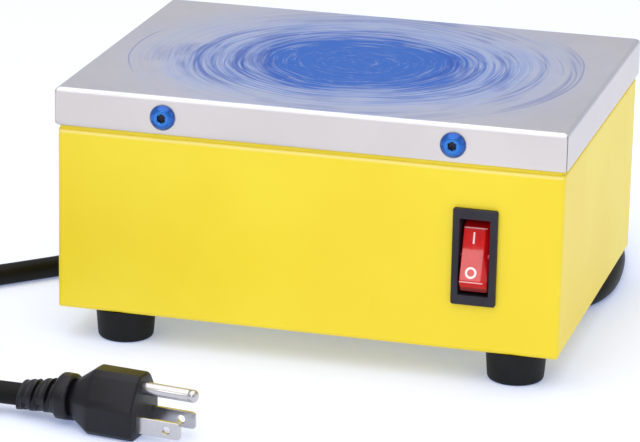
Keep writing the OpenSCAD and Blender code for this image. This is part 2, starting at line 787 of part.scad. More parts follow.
module power_cord() {
    color(rubber_black) swept(route_to_coil, cord_r, 10);
}

module power_cord_coil() {
    color(rubber_black) translate([coil_xy.x, coil_xy.y, coil_lift]) rotate_extrude() polygon([
        [coil_mid_r - coil_half + 2, 0], [coil_mid_r + coil_half - 2, 0], [coil_mid_r + coil_half, 2.5],
        [coil_mid_r + coil_half, 7], [coil_mid_r + coil_half - 5, coil_h], [coil_mid_r - coil_half + 2, coil_h],
        [coil_mid_r - coil_half, 13], [coil_mid_r - coil_half, 2.5]
    ]);
}

module power_cord_tail() {
    color(rubber_black) swept(route_to_plug, cord_r, 10);
}

module cord_tie() {
    gap = 0.3;
    wide = 2 * (coil_half + gap);
    color([0.2, 0.2, 0.22]) translate([coil_xy.x, coil_xy.y, 0]) rotate(tie_angle) translate([coil_mid_r, 0, 0])
        rotate([90, 0, 0]) linear_extrude(tie_w, center = true) difference() {
            translate([-wide / 2 - tie_t, 0]) square([wide + 2 * tie_t, coil_lift + coil_h + gap + tie_t]);
            translate([-wide / 2, coil_lift]) square([wide, coil_h + gap]);
        }
}

// ---------- plug ----------

// Puts children in the plug's own frame: its face is at x = 0, its pins point along +X
module at_plug() {
    translate([plug_xy.x, plug_xy.y, 0]) rotate(plug_turn) children();
}

module plug_metal(grow) {
    for (s = [-1, 1]) translate([-socket_l, s * blade_pitch / 2 - blade_size.y / 2 - grow, blade_z - blade_size.z / 2 - grow])
        cube([blade_size.x + socket_l, blade_size.y + 2 * grow, blade_size.z + 2 * grow]);
}

module plug_body() {
    color(black_plastic) at_plug() difference() {
        union() {
            translate([-plug_l, 0, 0]) rotate([90, 0, 90]) linear_extrude(plug_l) polygon(plug_section);
            hull() {
                translate([-plug_l - 0.2, 0, 0]) rotate([90, 0, 90]) linear_extrude(0.3) polygon(plug_section);
                translate([collar_x + collar_w, 0, neck_z]) rotate([0, 90, 0]) cylinder(r = 7, h = 0.3, $fn = 32);
            }
            translate([collar_x, 0, neck_z]) rotate([0, 90, 0]) cylinder(r = collar_r, h = collar_w);
            translate([collar_x + 1, 0, neck_z]) rotate([0, -90 - neck_tilt, 0]) rotate_extrude() polygon([
                [0, 0], [7, 0], [7, 4], [5.9, 4], [5.9, 5.4], [6.6, 5.4], [6.6, 9], [5.7, 9], [5.7, 10.4],
                [6.3, 10.4], [6.3, 14], [5.2, neck_l + 1], [0, neck_l + 1]
            ]);
        }
        plug_metal(0);
        translate([-socket_l, 0, blade_z + pin_above_blades]) rotate([0, 90, 0]) cylinder(r = pin_r, h = 30);
    }
}

module plug_blades() {
    color(bright_steel) at_plug() difference() {
        plug_metal(0);
        translate([blade_size.x - blade_hole_from_tip, 0, blade_z]) rotate([90, 0, 0]) cylinder(r = 1.6, h = 30, center = true);
    }
}

module plug_ground_pin() {
    color(bright_steel) at_plug() translate([-socket_l, 0, blade_z + pin_above_blades]) rotate([0, 90, 0]) {
        cylinder(r = pin_r, h = pin_l + socket_l - pin_r);
        translate([0, 0, pin_l + socket_l - pin_r]) sphere(pin_r);
    }
}

case_tray();
top_cover();
cover_screws();
clinch_nuts();
rubber_feet();
foot_screws();
foot_nuts();
motor_bracket();
bracket_posts();
post_screws();
bracket_screws();
motor_can();
upper_end_bell();
lower_end_bell();
motor_mount_screws();
stator_core();
stator_windings();
upper_bearing_outer();
upper_bearing_balls();
lower_bearing_outer();
lower_bearing_balls();
spindle_shaft();
rotor_core();
upper_bearing_inner();
lower_bearing_inner();
cooling_fan();
shaft_clip();
magnet_hub();
hub_set_screws();
magnet_disc();
disc_screws();
drive_magnets();
switch_housing();
switch_rocker();
rocker_lamp();
switch_terminals();
run_capacitor();
capacitor_strap();
terminal_block();
earth_stud();
earth_nuts();
earth_lug();
supply_wires();
switch_wires();
motor_leads();
capacitor_leads();
strain_relief();
gland_nut();
cord_inner_end();
power_cord();
power_cord_coil();
power_cord_tail();
cord_tie();
plug_body();
plug_blades();
plug_ground_pin();
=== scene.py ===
import json
import math

import bpy
import numpy as np
from mathutils import Matrix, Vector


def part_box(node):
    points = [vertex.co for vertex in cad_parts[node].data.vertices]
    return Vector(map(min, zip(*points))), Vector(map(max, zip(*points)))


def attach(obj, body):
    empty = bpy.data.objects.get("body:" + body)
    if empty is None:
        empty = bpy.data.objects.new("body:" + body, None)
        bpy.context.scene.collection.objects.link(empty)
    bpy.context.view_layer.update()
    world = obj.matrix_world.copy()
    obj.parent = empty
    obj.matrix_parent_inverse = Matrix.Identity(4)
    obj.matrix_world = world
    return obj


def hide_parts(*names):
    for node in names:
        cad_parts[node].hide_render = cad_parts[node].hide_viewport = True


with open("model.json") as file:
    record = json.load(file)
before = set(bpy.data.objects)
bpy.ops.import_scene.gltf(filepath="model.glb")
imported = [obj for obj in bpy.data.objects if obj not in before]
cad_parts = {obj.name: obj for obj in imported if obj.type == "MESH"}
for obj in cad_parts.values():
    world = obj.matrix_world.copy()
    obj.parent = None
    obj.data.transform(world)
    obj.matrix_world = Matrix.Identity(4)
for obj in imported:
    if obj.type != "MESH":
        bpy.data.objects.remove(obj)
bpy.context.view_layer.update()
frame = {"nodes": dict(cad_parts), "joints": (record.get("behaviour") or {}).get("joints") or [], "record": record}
scene = bpy.context.scene
scene.view_settings.view_transform = "Standard"
mm = 0.001  # lengths below are in millimetres, and meshes are scaled to metres as they are made


def nodeBox(name):
    low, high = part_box(name)
    return np.array(low) / mm, np.array(high) / mm


def unit(v):
    return v / np.linalg.norm(v, axis=-1, keepdims=True)


# camera

camera = {
    "position": (0.329027, -1.290377, 0.456651),
    "yaw": 14.876,  # degrees to the left of +Y
    "pitch": 17.56,  # degrees below the horizon
    "roll": 1.17,
    "lens": 196.305,
    "sensor": 36.0,
}


def makeCamera():
    # the view's axes come from its yaw and pitch, and then turn about the line of sight by the roll
    yaw, pitch, roll = (math.radians(camera[k]) for k in ("yaw", "pitch", "roll"))
    ahead = np.array([-math.sin(yaw) * math.cos(pitch), math.cos(yaw) * math.cos(pitch), -math.sin(pitch)])
    level = np.array([math.cos(yaw), math.sin(yaw), 0.0])
    upward = np.cross(level, ahead)
    right = math.cos(roll) * level + math.sin(roll) * upward
    up = -math.sin(roll) * level + math.cos(roll) * upward
    data = bpy.data.cameras.new("viewCamera")
    data.lens, data.sensor_width = camera["lens"], camera["sensor"]
    data.clip_start, data.clip_end = 0.05, 20
    view = bpy.data.objects.new("viewCamera", data)
    scene.collection.objects.link(view)
    turned = np.eye(4)
    turned[:3, :3] = np.stack([right, up, -ahead], 1)
    turned[:3, 3] = camera["position"]
    view.matrix_world = Matrix(turned.tolist())
    scene.camera = view


makeCamera()
print("camera placed")


# surfaces


def outward(points, quads, fans):
    # the signed volume is the sum of a . (b x c) / 6 over the triangles; below zero the faces turn over
    corners = points[np.vstack([quads[:, [0, 1, 2]], quads[:, [0, 2, 3]], fans])]
    volume = np.einsum("ij,ij->i", corners[:, 0], np.cross(corners[:, 1], corners[:, 2])).sum() / 6
    return (points, quads[:, ::-1], fans[:, ::-1]) if volume < 0 else (points, quads, fans)


def skin(loops, closed=False):
    # rows of points, each row a ring joined to the next row; closed joins the last row to the first,
    # and otherwise a fan to its middle shuts each end
    rows, cols = loops.shape[:2]
    r = np.arange(rows if closed else rows - 1)[:, None]
    c = np.arange(cols)
    r2, c2 = (r + 1) % rows, (c + 1) % cols
    quads = np.stack(np.broadcast_arrays(r * cols + c, r * cols + c2, r2 * cols + c2, r2 * cols + c), -1)
    points, fans = loops.reshape(-1, 3), np.zeros((0, 3), int)
    if not closed:
        last, middle = (rows - 1) * cols, rows * cols + 0 * c
        points = np.vstack([points, loops[0].mean(0), loops[-1].mean(0)])
        fans = np.vstack([np.stack([c2, c, middle], 1), np.stack([last + c, last + c2, middle + 1], 1)])
    return outward(points, quads.reshape(-1, 4), fans)


def placed(shape, origin, xWay, yWay, zWay):
    # a shape carried from its own axes to the given origin and directions
    points, quads, fans = shape
    return outward(np.array(origin) + points @ np.array([xWay, yWay, zWay], float), quads, fans)


def filleted(corners, reach, steps=5, closed=False):
    # each corner gives way to (1-t)^2 a + 2t(1-t) corner + t^2 b, where a and b lie on its sides at the reach
    corners = np.array(corners, float)
    reach = np.broadcast_to(np.array(reach, float), len(corners)).copy()
    if not closed:
        reach[[0, -1]] = 0
    back, on = (unit(np.roll(corners, s, 0) - corners) for s in (1, -1))
    a, b = corners + back * reach[:, None], corners + on * reach[:, None]
    t = np.linspace(0, 1, steps)[None, :, None]
    curve = (1 - t) ** 2 * a[:, None] + 2 * t * (1 - t) * corners[:, None] + t**2 * b[:, None]
    curve = curve.reshape(-1, corners.shape[1])
    return curve[np.r_[True, np.linalg.norm(np.diff(curve, axis=0), axis=1) > 1e-6]]


def lathe(profile, count=64):
    # rings about Z: (radius cos a, radius sin a, height) for each [radius, height]
    a = np.arange(count) * 2 * np.pi / count
    r, h = profile[:, :1], profile[:, 1:]
    return np.stack([r * np.cos(a), r * np.sin(a), h + 0 * a], -1)


def rectLoops(halfX, halfY, corner, steps=6, near=(), between=0):
    # round-cornered rectangles, one row each: four quarter circles, with extra points on the straight
    # sides at the near distances from the arcs and evenly between them
    halfX, halfY, corner = (np.reshape(v, (-1, 1)) for v in np.broadcast_arrays(halfX, halfY, corner))
    turn = np.linspace(0, np.pi / 2, steps)
    signs = [(1, 1), (-1, 1), (-1, -1), (1, -1)]
    arcs = [
        np.stack([
            sx * (halfX - corner) + corner * np.cos(turn + k * np.pi / 2),
            sy * (halfY - corner) + corner * np.sin(turn + k * np.pi / 2),
        ], -1)
        for k, (sx, sy) in enumerate(signs)
    ]
    near = np.array(near, float)[None, :, None]
    share = (np.arange(between) + 1)[None, :, None] / (between + 1)
    parts = []
    for k in range(4):
        start, stop = arcs[k][:, -1:], arcs[(k + 1) % 4][:, :1]
        way = unit(stop - start)
        first, second = start + way * near, stop - way * near[:, ::-1]
        a, b = (first[:, -1:], second[:, :1]) if near.size else (start, stop)
        parts += [arcs[k], first, a + (b - a) * share, second]
    return np.concatenate(parts, 1)


def makePiece(name, shapes, finish, body, nodes=(), crease=35):
    # one mesh of the shapes, smooth but for edges sharper than the crease, riding on a CAD body
    points, faces, count = [], [], 0
    for corners, quads, fans in shapes:
        points.append(corners)
        faces += (quads + count).tolist() + (fans + count).tolist()
        count += len(corners)
    mesh = bpy.data.meshes.new(name)
    mesh.from_pydata((np.vstack(points) * mm).tolist(), [], faces)
    mesh.shade_smooth()
    mesh.set_sharp_from_angle(angle=math.radians(crease))
    mesh.materials.append(finish)
    piece = bpy.data.objects.new(name, mesh)
    scene.collection.objects.link(piece)
    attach(piece, body)
    if nodes:
        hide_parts(*nodes)
    print(name, "made:", len(mesh.vertices), "points")
    return piece


# shader maths


class Wire:
    # one socket of a finish; + - * / ** on it add Math nodes
    def __init__(self, finish, socket):
        self.finish, self.socket = finish, socket

    def math(self, operation, *others, swap=False):
        terms = [*others, self] if swap else [self, *others]
        return self.finish.node("Math", {"operation": operation}, dict(enumerate(terms)))

    def __add__(self, other):
        return self.math("ADD", other)

    def __sub__(self, other):
        return self.math("SUBTRACT", other)

    def __rsub__(self, other):
        return self.math("SUBTRACT", other, swap=True)

    def __mul__(self, other):
        return self.math("MULTIPLY", other)

    def __truediv__(self, other):
        return self.math("DIVIDE", other)

    def __pow__(self, other):
        return self.math("POWER", other)

    __radd__, __rmul__ = __add__, __mul__


class Finish:
    # a material made node by node round one Principled shader
    def __init__(self, name, **sockets):
        self.material = bpy.data.materials.new(name)
        self.material.use_nodes = True
        self.tree = self.material.node_tree
        self.shader = self.tree.nodes["Principled BSDF"]
        self.place = Wire(self, self.tree.nodes.new("ShaderNodeTexCoord").outputs["Object"])
        self.give(self.shader, {k.replace("_", " "): v for k, v in sockets.items()})

    def give(self, node, values):
        for key, value in values.items():
            if isinstance(value, Wire):
                self.tree.links.new(value.socket, node.inputs[key])
            else:
                isColour = node.inputs[key].type == "RGBA"
                node.inputs[key].default_value = (*value, 1) if isColour and len(value) == 3 else value

    def node(self, kind, settings=None, values=None, output=0):
        # a node of that kind: its settings go in first, then its sockets' values and links
        made = self.tree.nodes.new("ShaderNode" + kind)
        for key, value in (settings or {}).items():
            setattr(made, key, value)
        self.give(made, values or {})
        return Wire(self, made.outputs[output])

    def axes(self, vector=None):
        split = self.node("SeparateXYZ", values={0: vector or self.place}).socket.node
        return [Wire(self, split.outputs[i]) for i in range(3)]

    def join(self, x, y, z):
        return self.node("CombineXYZ", values={0: x, 1: y, 2: z})

    def stretched(self, scale, vector=None):
        return self.node("VectorMath", {"operation": "MULTIPLY"}, {0: vector or self.place, 1: scale})

    def noise(self, scale, detail=2.0, vector=None, rough=0.5):
        values = {"Vector": vector or self.place, "Scale": scale, "Detail": detail, "Roughness": rough}
        return self.node("TexNoise", values=values)

    def band(self, value, low, high):
        # 0 below low, 1 above high, and a smooth step between
        values = {"Value": value, "From Min": low, "From Max": high}
        return self.node("MapRange", {"interpolation_type": "SMOOTHSTEP"}, values)

    def between(self, value, low, high):
        # a number from 0 to 1 spread over low to high
        return self.node("MapRange", {}, {"Value": value, "To Min": low, "To Max": high})

    def mix(self, share, a, b, blend="MIX"):
        settings = {"data_type": "RGBA", "blend_type": blend}
        return self.node("Mix", settings, {0: share, 6: a, 7: b}, output=2)

    def bump(self, height, distance, strength=1.0, normal=None):
        values = {"Height": height, "Distance": distance, "Strength": strength}
        return self.node("Bump", values={**values, "Normal": normal} if normal else values)

    def finish(self, **sockets):
        self.give(self.shader, {k.replace("_", " "): v for k, v in sockets.items()})
        return self.material


# finishes


def colour(r, g, b):
    # a screen colour, 0 to 255, as the linear one that shaders use
    c = np.array([r, g, b]) / 255
    return tuple(np.where(c < 0.04045, c / 12.92, ((c + 0.055) / 1.055) ** 2.4).tolist())


def mottled(name, light, dark, patch, roughness, grain, depth, **sockets):
    # two near colours in soft patches, a roughness that wanders with them, and a fine grain in relief
    f = Finish(name, **sockets)
    patches, grains = f.noise(patch, 4), f.noise(grain, 3)
    return f.finish(
        Base_Color=f.mix(f.band(patches, 0.35, 0.65), light, dark),
        Roughness=f.between(patches * 0.6 + grains * 0.4, *roughness),
        Normal=f.bump(grains, depth),
    )


def streaked(name, light, dark, stretch, roughness, depth, **sockets):
    # metal with a one-way grain: noise drawn out along one axis
    f = Finish(name, Metallic=1.0, **sockets)
    streaks, clouds = f.noise(1.0, 4, f.stretched(stretch)), f.noise(35, 3)
    return f.finish(
        Base_Color=f.mix(streaks * 0.7 + clouds * 0.3, dark, light),
        Roughness=f.between(streaks * 0.5 + clouds * 0.5, *roughness),
        Normal=f.bump(streaks, depth),
    )


def powderCoat(shoulder, front):
    # satin yellow powder coat: a broad orange peel, a fine tooth on it, and faint handling marks; just below
    # the cover's flange a deeper band and a pale line are painted on, on the front only, as a stand-in for
    # the flange's shadow and a highlight: they are not marks on the coat
    f = Finish("yellowPowderCoat", Specular_IOR_Level=0.5, IOR=1.5)
    x, y, z = (axis / mm for axis in f.axes())
    peel, tooth, cloud = f.noise(420, 2), f.noise(2600, 2), f.noise(16, 3)
    marks = f.band(f.noise(70, 5, f.stretched((1, 1, 0.35))), 0.62, 0.78)
    onFront = 1 - f.band(y, front + 0.3, front + 0.6)
    drop = shoulder - z + (cloud - 0.5) * 0.8
    under = (1 - f.band(drop, 1.7, 2.5)) * onFront
    line = f.band(drop, 1.7, 2.3) * (1 - f.band(drop, 2.6, 3.6)) * onFront
    tone = f.mix(f.band(cloud, 0.3, 0.7), colour(251, 226, 42), colour(247, 219, 30))
    tone = f.mix(under * 0.8, tone, colour(240, 206, 4))
    tone = f.mix(line * 0.6, tone, colour(255, 240, 150))
    return f.finish(
        Base_Color=f.mix(marks * 0.15, tone, colour(226, 196, 40)),
        Roughness=f.between(cloud * 0.5 + marks * 0.3 + tooth * 0.2, 0.34, 0.5),
        Normal=f.bump(peel * 0.8 + tooth * 0.2, 0.00006, 0.5),
    )


scuffs = {
    "middle": (1.0, -1.0),
    # three layers of stain: the radii it thins out between, how much the streaks sway them, and its weight
    "layers": [(22, 49, 1.0, 0.45), (34, 82, 1.3, 0.38), (54, 114, 1.6, 0.34)],
    # bundles of strokes: centre, radius, heading, half spread in degrees, half width, strength
    "bundles": [
        ((0, -1), 63.0, 185, 62, 3.0, 0.9),
        ((2, 0), 48.5, 190, 60, 3.5, 0.7),
        ((2, 2), 85.0, -4, 42, 3.2, 0.8),
        ((0, -2), 58.0, 0, 44, 2.8, 0.9),
        ((1, 0), 72.5, 3, 36, 3.0, 0.5),
        ((0, 0), 47.0, 0, 50, 3.0, 0.7),
        ((0, 1), 36.0, 20, 75, 3.0, 0.7),
        ((0, 0), 37.0, 195, 60, 3.0, 0.6),
    ],
    # long single scratches: the same, with the line's half width
    "arcs": [
        ((0, -1), 62.0, 187, 50, 0.6, 0.85),
        ((2, 2), 62.0, 235, 46, 0.5, 0.75),
        ((1, 0), 60.5, 285, 40, 0.55, 0.5),
        ((2, 0), 92.0, 187, 26, 0.5, 0.7),
        ((2, 2), 87.5, -4, 44, 0.55, 0.7),
        ((0, -3), 60.5, -10, 26, 0.6, 0.7),
        ((-1, 0), 48.0, -10, 36, 0.5, 0.7),
        ((0, 3), 73.5, -4, 30, 0.45, 0.5),
        ((1, 0), 37.5, 175, 36, 0.5, 0.7),
        ((2, 3), 34.0, 28, 60, 0.5, 0.6),
        ((-1, -1), 47.5, 258, 44, 0.55, 0.6),
    ],
}


def polar(f, x, y, middle, wander, reach, spacing):
    # seamless round coordinates about a middle: (cos a, sin a) * reach, with radius / spacing along Z;
    # wander bends the rings out of round
    dx, dy = x - middle[0], y - middle[1]
    radius = (dx * dx + dy * dy) ** 0.5
    cosine, sine = dx / (radius + 0.01), dy / (radius + 0.01)
    bend = f.noise(1.0, 1, f.join(cosine * 1.3, sine * 1.3, radius * 0.02)) * wander
    return f.join(cosine * reach, sine * reach, (radius + bend) / spacing), radius, cosine, sine


def strokes(f, ring, width):
    # thin lines where the noise passes its middle value
    return 1 - f.band((f.noise(1.0, 2, ring) - 0.5).math("ABSOLUTE"), 0, width)


def arcWindow(f, x, y, arc, sway):
    # 1 on an arc and 0 off it: near its radius, and facing its heading
    centre, size, heading, spread, width, strength = arc
    dx, dy = x - centre[0], y - centre[1]
    off = ((dx * dx + dy * dy) ** 0.5 - size + sway).math("ABSOLUTE")
    a = math.radians(heading)
    facing = (dx * math.cos(a) + dy * math.sin(a)) / size
    window = f.band(facing, math.cos(math.radians(spread)), math.cos(math.radians(spread * 0.4)))
    return (1 - f.band(off, width * 0.25, width)) * window * strength


def scuffedSteel():
    # satin steel whose flat top carries blue circular scuffs: a stain that thins out from the middle in
    # streaks, and rings of thin strokes about slightly different centres
    f = Finish("scuffedSteel")
    x, y, z = (axis / mm for axis in f.axes())
    top = float(nodeBox("top_cover")[1][2])
    onTop = f.band(z, top - 0.3, top - 0.05)
    cx, cy = scuffs["middle"]
    ringFine, radius, cosine, sine = polar(f, x, y, (cx, cy), 5, 1.6, 1.1)
    fine = f.band(f.noise(1.0, 3, ringFine), 0.3, 0.7)
    broad = f.noise(1.0, 2, polar(f, x, y, (cx + 1, cy - 3), 6, 0.9, 5.5)[0])
    patch = f.noise(1.0, 2, f.join(cosine * 1.4, sine * 1.4, radius * 0.03))
    sway = (patch - 0.5) * 20 + (fine - 0.5) * 5 + (broad - 0.5) * 16
    streak = f.between(fine, 0.55, 1.4)
    stain = 0
    for near, far, share, weight in scuffs["layers"]:
        layer = (1 - f.band(radius + sway * share, near, far)) * weight
        stain = stain + (layer * streak if near > 30 else layer)
    strokesNear = strokes(f, polar(f, x, y, (cx + 1, cy - 2), 5, 0.9, 3.0)[0], 0.12)
    strokesFar = strokes(f, polar(f, x, y, (cx - 1, cy + 2), 6, 0.8, 4.2)[0], 0.1)
    slow = (patch - 0.5) * 7
    lines = strokesFar * 0
    for arc in scuffs["bundles"]:
        lines = lines + arcWindow(f, x, y, arc, slow)
    lines = lines * (strokesNear * 0.8 + 0.12)
    for arc in scuffs["arcs"]:
        lines = lines + arcWindow(f, x, y, arc, slow * 0.5)
    patchy = f.band(f.noise(1.0, 3, f.join(cosine * 1.9, sine * 1.9, radius * 0.06)), 0.4, 0.62)
    reachOut = f.band(radius, 24, 38) * (1 - f.band(radius, 66, 94))
    lines = lines + (strokesFar * 0.55 + strokesNear * 0.3) * patchy * reachOut
    inside = 1 - f.band(radius + sway * 0.5, 22, 36)
    lines = (lines * (1 - inside * 0.8)).math("MINIMUM", 1.0) * onTop
    glint = strokes(f, polar(f, x, y, (cx + 9, cy + 4), 12, 1.0, 2.4)[0], 0.03)
    glint = glint * f.band(f.noise(1.0, 2, f.stretched((180, 180, 0))), 0.52, 0.7) * onTop
    stain = stain.math("MINIMUM", 0.97) * (1 - glint * 0.3) * onTop
    grain = f.noise(1.0, 4, f.stretched((260, 260, 900)))
    cloud = f.noise(24, 4)
    steel = f.mix(grain * 0.35 + cloud * 0.65, colour(213, 212, 220), colour(230, 228, 233))
    # the flange is the same sheet as the top; its warmer base only cancels the blue cast from the floor
    flange = f.mix(cloud, colour(212, 204, 196), colour(228, 220, 212))
    steel = f.mix(f.band(z, top - 2.5, top - 0.6), flange, steel)
    pigment = f.mix(f.band(stain, 0.3, 0.9), colour(62, 136, 226), colour(6, 92, 186))
    tinted = f.mix(stain, steel, pigment)
    inked = f.mix(lines * 0.72, tinted, colour(38, 78, 168))
    tooth = f.noise(1700, 3)
    return f.finish(
        Base_Color=inked,
        Metallic=1 - stain * 0.88 - lines * (1 - stain) * 0.5,
        Roughness=f.between(cloud * 0.5 + grain * 0.5, 0.34, 0.46) + stain * 0.15,
        Specular_IOR_Level=0.25,
        Normal=f.bump(tooth * 0.5 + grain * 0.5 + glint * 0.6 - lines * 0.5, 0.00003, 0.5),
    )


def rockerLens(pivot, tilt, face):
    # clear red moulding with prism ribs inside, and a bar and a ring printed on its face in white; the pale lines
    # at the face's two ends (edge) are painted highlights, the lighter orange lower end is painted light, the
    # darker red behind the face and on the studs is painted shade, and the faint red glow is painted light too
    f = Finish("rockerLens", IOR=1.49, Specular_IOR_Level=0.12, Coat_Roughness=0.03, Coat_IOR=1.5)
    x, y, z = (axis / mm for axis in f.axes())
    x, y, z = x - float(pivot[0]), y - float(pivot[1]), z - float(pivot[2])
    along = y * math.sin(tilt) + z * math.cos(tilt)
    depth = y * math.cos(tilt) - z * math.sin(tilt)
    front = 1 - f.band(depth, -face + 0.5, -face + 0.8)
    fromMiddle = along.math("ABSOLUTE")
    # edge: pale lines at the face's two ends, painted highlights
    edge = f.band(fromMiddle, 10.0, 10.25) * (1 - f.band(fromMiddle, 10.4, 10.6)) * front
    shifted = x + 0.95
    bar = 1 - f.band(shifted.math("ABSOLUTE"), 0.26, 0.38)
    bar = bar * (1 - f.band((along - 6.5).math("ABSOLUTE"), 2.1, 2.25))
    ringAt = (shifted * shifted + (along + 6.7) * (along + 6.7)) ** 0.5
    ring = 1 - f.band((ringAt - 1.8).math("ABSOLUTE"), 0.34, 0.48)
    mark = (bar + ring).math("MINIMUM", 1.0) * front
    ribs = (x * 14).math("SINE") * 0.5 + 0.5
    clouds = f.band(f.noise(260, 3), 0.3, 0.7)
    red = f.mix(clouds * 0.4 + ribs * 0.5 * front, colour(184, 8, 12), colour(222, 28, 26))
    # the lower end is painted a lighter orange-red than the face: painted light on the same moulding
    red = f.mix(f.band(along, -13.5, -10.8), colour(222, 48, 22), red)
    # the red darkens behind the face, down the sides in the window: painted shade
    red = f.mix(f.band(depth, -face + 1.2, -face + 3.2), red, colour(112, 3, 8))
    # the pivot studs are painted near-black and the coat is cut on them: painted shade
    shadedStubs = f.band(x.math("ABSOLUTE"), 5.3, 5.4)
    red = f.mix(shadedStubs, red, colour(20, 3, 4))
    # the coat is cut down outside the face's middle only to shape the reflection seen from the front; a
    # real lens is evenly glossy
    gloss = f.band(along, -9.9, -9.4) * (1 - f.band(along, 1.6, 2.8)) * (1 - shadedStubs)
    return f.finish(
        Base_Color=f.mix((mark + edge * 0.7).math("MINIMUM", 1.0), red, colour(250, 232, 226)),
        Roughness=f.between(f.noise(500, 3), 0.2, 0.3) + mark * 0.2,
        # the faint red glow of the lens (Emission) is painted light
        Emission_Color=f.mix(mark, colour(170, 6, 10), (0.0, 0.0, 0.0)),
        Coat_Weight=gloss * 0.85 + 0.15,
        Emission_Strength=0.1,
        Normal=f.bump(ribs * front * 0.2 + mark * 0.5, 0.00004),
    )


def anodisedHeads(box, sheetFace):
    # blue anodised button heads; the paler ring round the socket is a painted highlight, and the dark of the
    # socket and the dome's darkening towards its rim are painted shade, not lit
    f = Finish("anodisedHeads", Metallic=0.6, Coat_Weight=0.5, Coat_Roughness=0.12)
    x, y, z = (axis / mm for axis in f.axes())
    low, high = box
    dx, dz = x.math("ABSOLUTE") - headMiddle, z - float(low[2] + high[2]) / 2
    radius = (dx * dx + dz * dz) ** 0.5
    out = y.math("ABSOLUTE") - sheetFace
    # socket: its dark colour is painted shade in the hex recess
    socket = (1 - f.band(radius, 1.55, 1.75)) * (1 - f.band(out, 1.5, 2.1))
    # ring: the paler ring round the socket is a painted highlight
    ring = f.band(radius, 1.6, 1.8) * (1 - f.band(radius, 2.5, 3.0))
    wear, grain = f.noise(900, 3), f.noise(2600, 2)
    # the blue darkens towards the dome's rim: painted shade
    blue = f.mix(f.band(radius, 3.0, 5.0), colour(8, 104, 192), colour(5, 76, 166))
    blue = f.mix(ring * 0.4, blue, colour(60, 148, 226))
    blue = f.mix(wear * 0.2, blue, colour(8, 70, 170))
    return f.finish(
        Base_Color=f.mix(socket, blue, colour(7, 14, 40)),
        Roughness=f.between(wear * 0.6 + grain * 0.4, 0.2, 0.34) + socket * 0.3,
        Normal=f.bump(grain, 0.000008),
    )


def moulded(name, dark, light, roughness, grain=900, depth=0.00002, **sockets):
    return mottled(name, dark, light, 60, roughness, grain, depth, **sockets)


rockerJoint = next(j for j in frame["joints"] if j["name"] == "rocker_tilt")
rockerPivot = np.array(rockerJoint["pos_m"]) / mm
# at rest the top is pressed in by half the travel
rockerTilt = math.radians(rockerJoint["range_deg"][1]) / 2
rocker = {
    "face": 2.75,
    "faceHalf": (4.25, 10.4),
    "waist": (5.4, 13.65),
    "back": 4.5,
    "dish": 0.3,
    "lean": 0.85,
}
housingShift = (-0.3, -0.2)  # across and up, from the CAD solid

headMiddle = 56.6  # the button heads' distance from the middle of the front
coverFace = 74.5  # half of the cover's depth
finishes = {
    "yellow_powder_coat": powderCoat(
        float(nodeBox("top_cover")[0][2]), float(nodeBox("case_tray")[0][1])),
    "brushed_steel": scuffedSteel(),
    "blue_anodised": anodisedHeads(nodeBox("cover_screws"), coverFace),
    "zinc_steel": streaked(
        "zincSteel", (0.78, 0.78, 0.76), (0.55, 0.56, 0.57), (500, 500, 90), (0.25, 0.42), 0.00001),
    "foot_rubber": moulded(
        "footRubber", colour(13, 13, 14), colour(22, 22, 23), (0.5, 0.65), 1500, 0.00004,
        Specular_IOR_Level=0.25),
    "galvanised_sheet": mottled(
        "galvanisedSheet", (0.62, 0.64, 0.66), (0.46, 0.48, 0.51), 90, (0.3, 0.5), 700, 0.00001, Metallic=1.0),
    "black_enamel": moulded(
        "blackEnamel", (0.03, 0.03, 0.032), (0.05, 0.05, 0.055), (0.25, 0.4), 500, 0.00003),
    "cast_aluminium": mottled(
        "castAluminium", (0.74, 0.75, 0.76), (0.58, 0.59, 0.6), 160, (0.42, 0.6), 1300, 0.00004, Metallic=1.0),
    "lamination_steel": streaked(
        "laminationSteel", (0.42, 0.43, 0.46), (0.25, 0.26, 0.28), (60, 60, 2600), (0.35, 0.55), 0.00005),
    "copper": streaked(
        "copperWinding", (0.80, 0.42, 0.22), (0.52, 0.22, 0.10), (240, 240, 2200), (0.25, 0.4), 0.00006),
    "bearing_steel": streaked(
        "bearingSteel", (0.80, 0.80, 0.82), (0.66, 0.66, 0.69), (80, 80, 1500), (0.12, 0.24), 0.000005),
    "white_plastic": moulded("whitePlastic", (0.86, 0.86, 0.82), (0.76, 0.76, 0.72), (0.35, 0.5)),
    "nickel_magnet": streaked(
        "nickelMagnet", (0.80, 0.79, 0.76), (0.64, 0.63, 0.60), (300, 300, 300), (0.15, 0.3), 0.000008),
    "switch_plastic": moulded(
        "switchPlastic", colour(36, 33, 41), colour(46, 43, 50), (0.36, 0.5), 1400, 0.00003,
        Specular_IOR_Level=0.3),
    "rocker_red": rockerLens(rockerPivot, rockerTilt, rocker["face"]),
    "lamp_glass": moulded("lampGlass", (0.9, 0.42, 0.22), (0.8, 0.3, 0.15), (0.08, 0.16), 300, 0.00001),
    "brass": streaked(
        "brassPlate", (0.85, 0.66, 0.34), (0.66, 0.48, 0.22), (400, 400, 120), (0.2, 0.36), 0.00001),
    "wire_insulation": moulded("wireInsulation", (0.30, 0.24, 0.22), (0.16, 0.15, 0.17), (0.4, 0.55)),
    "cord_jacket": moulded(
        "cordJacket", colour(7, 6, 6), colour(13, 12, 11), (0.4, 0.52), 700, 0.00005,
        Specular_IOR_Level=0.18),
    "tie_nylon": moulded("tieNylon", colour(30, 30, 33), colour(44, 44, 47), (0.5, 0.65), 1800, 0.00005),
    "plug_moulding": moulded(
        "plugMoulding", colour(13, 12, 17), colour(22, 21, 27), (0.3, 0.42), 1100, 0.00004,
        Specular_IOR_Level=0.32),
    "nickel_plate": streaked(
        "nickelPlate", (0.62, 0.60, 0.59), (0.48, 0.46, 0.45), (700, 160, 160), (0.16, 0.3), 0.00001),
}
for part in frame["record"]["subparts"]:
    mesh = frame["nodes"][part["node"]].data
    mesh.materials.clear()
    mesh.materials.append(finishes[part["material_slot"]])
print("finishes:", len(finishes))


# mains cord

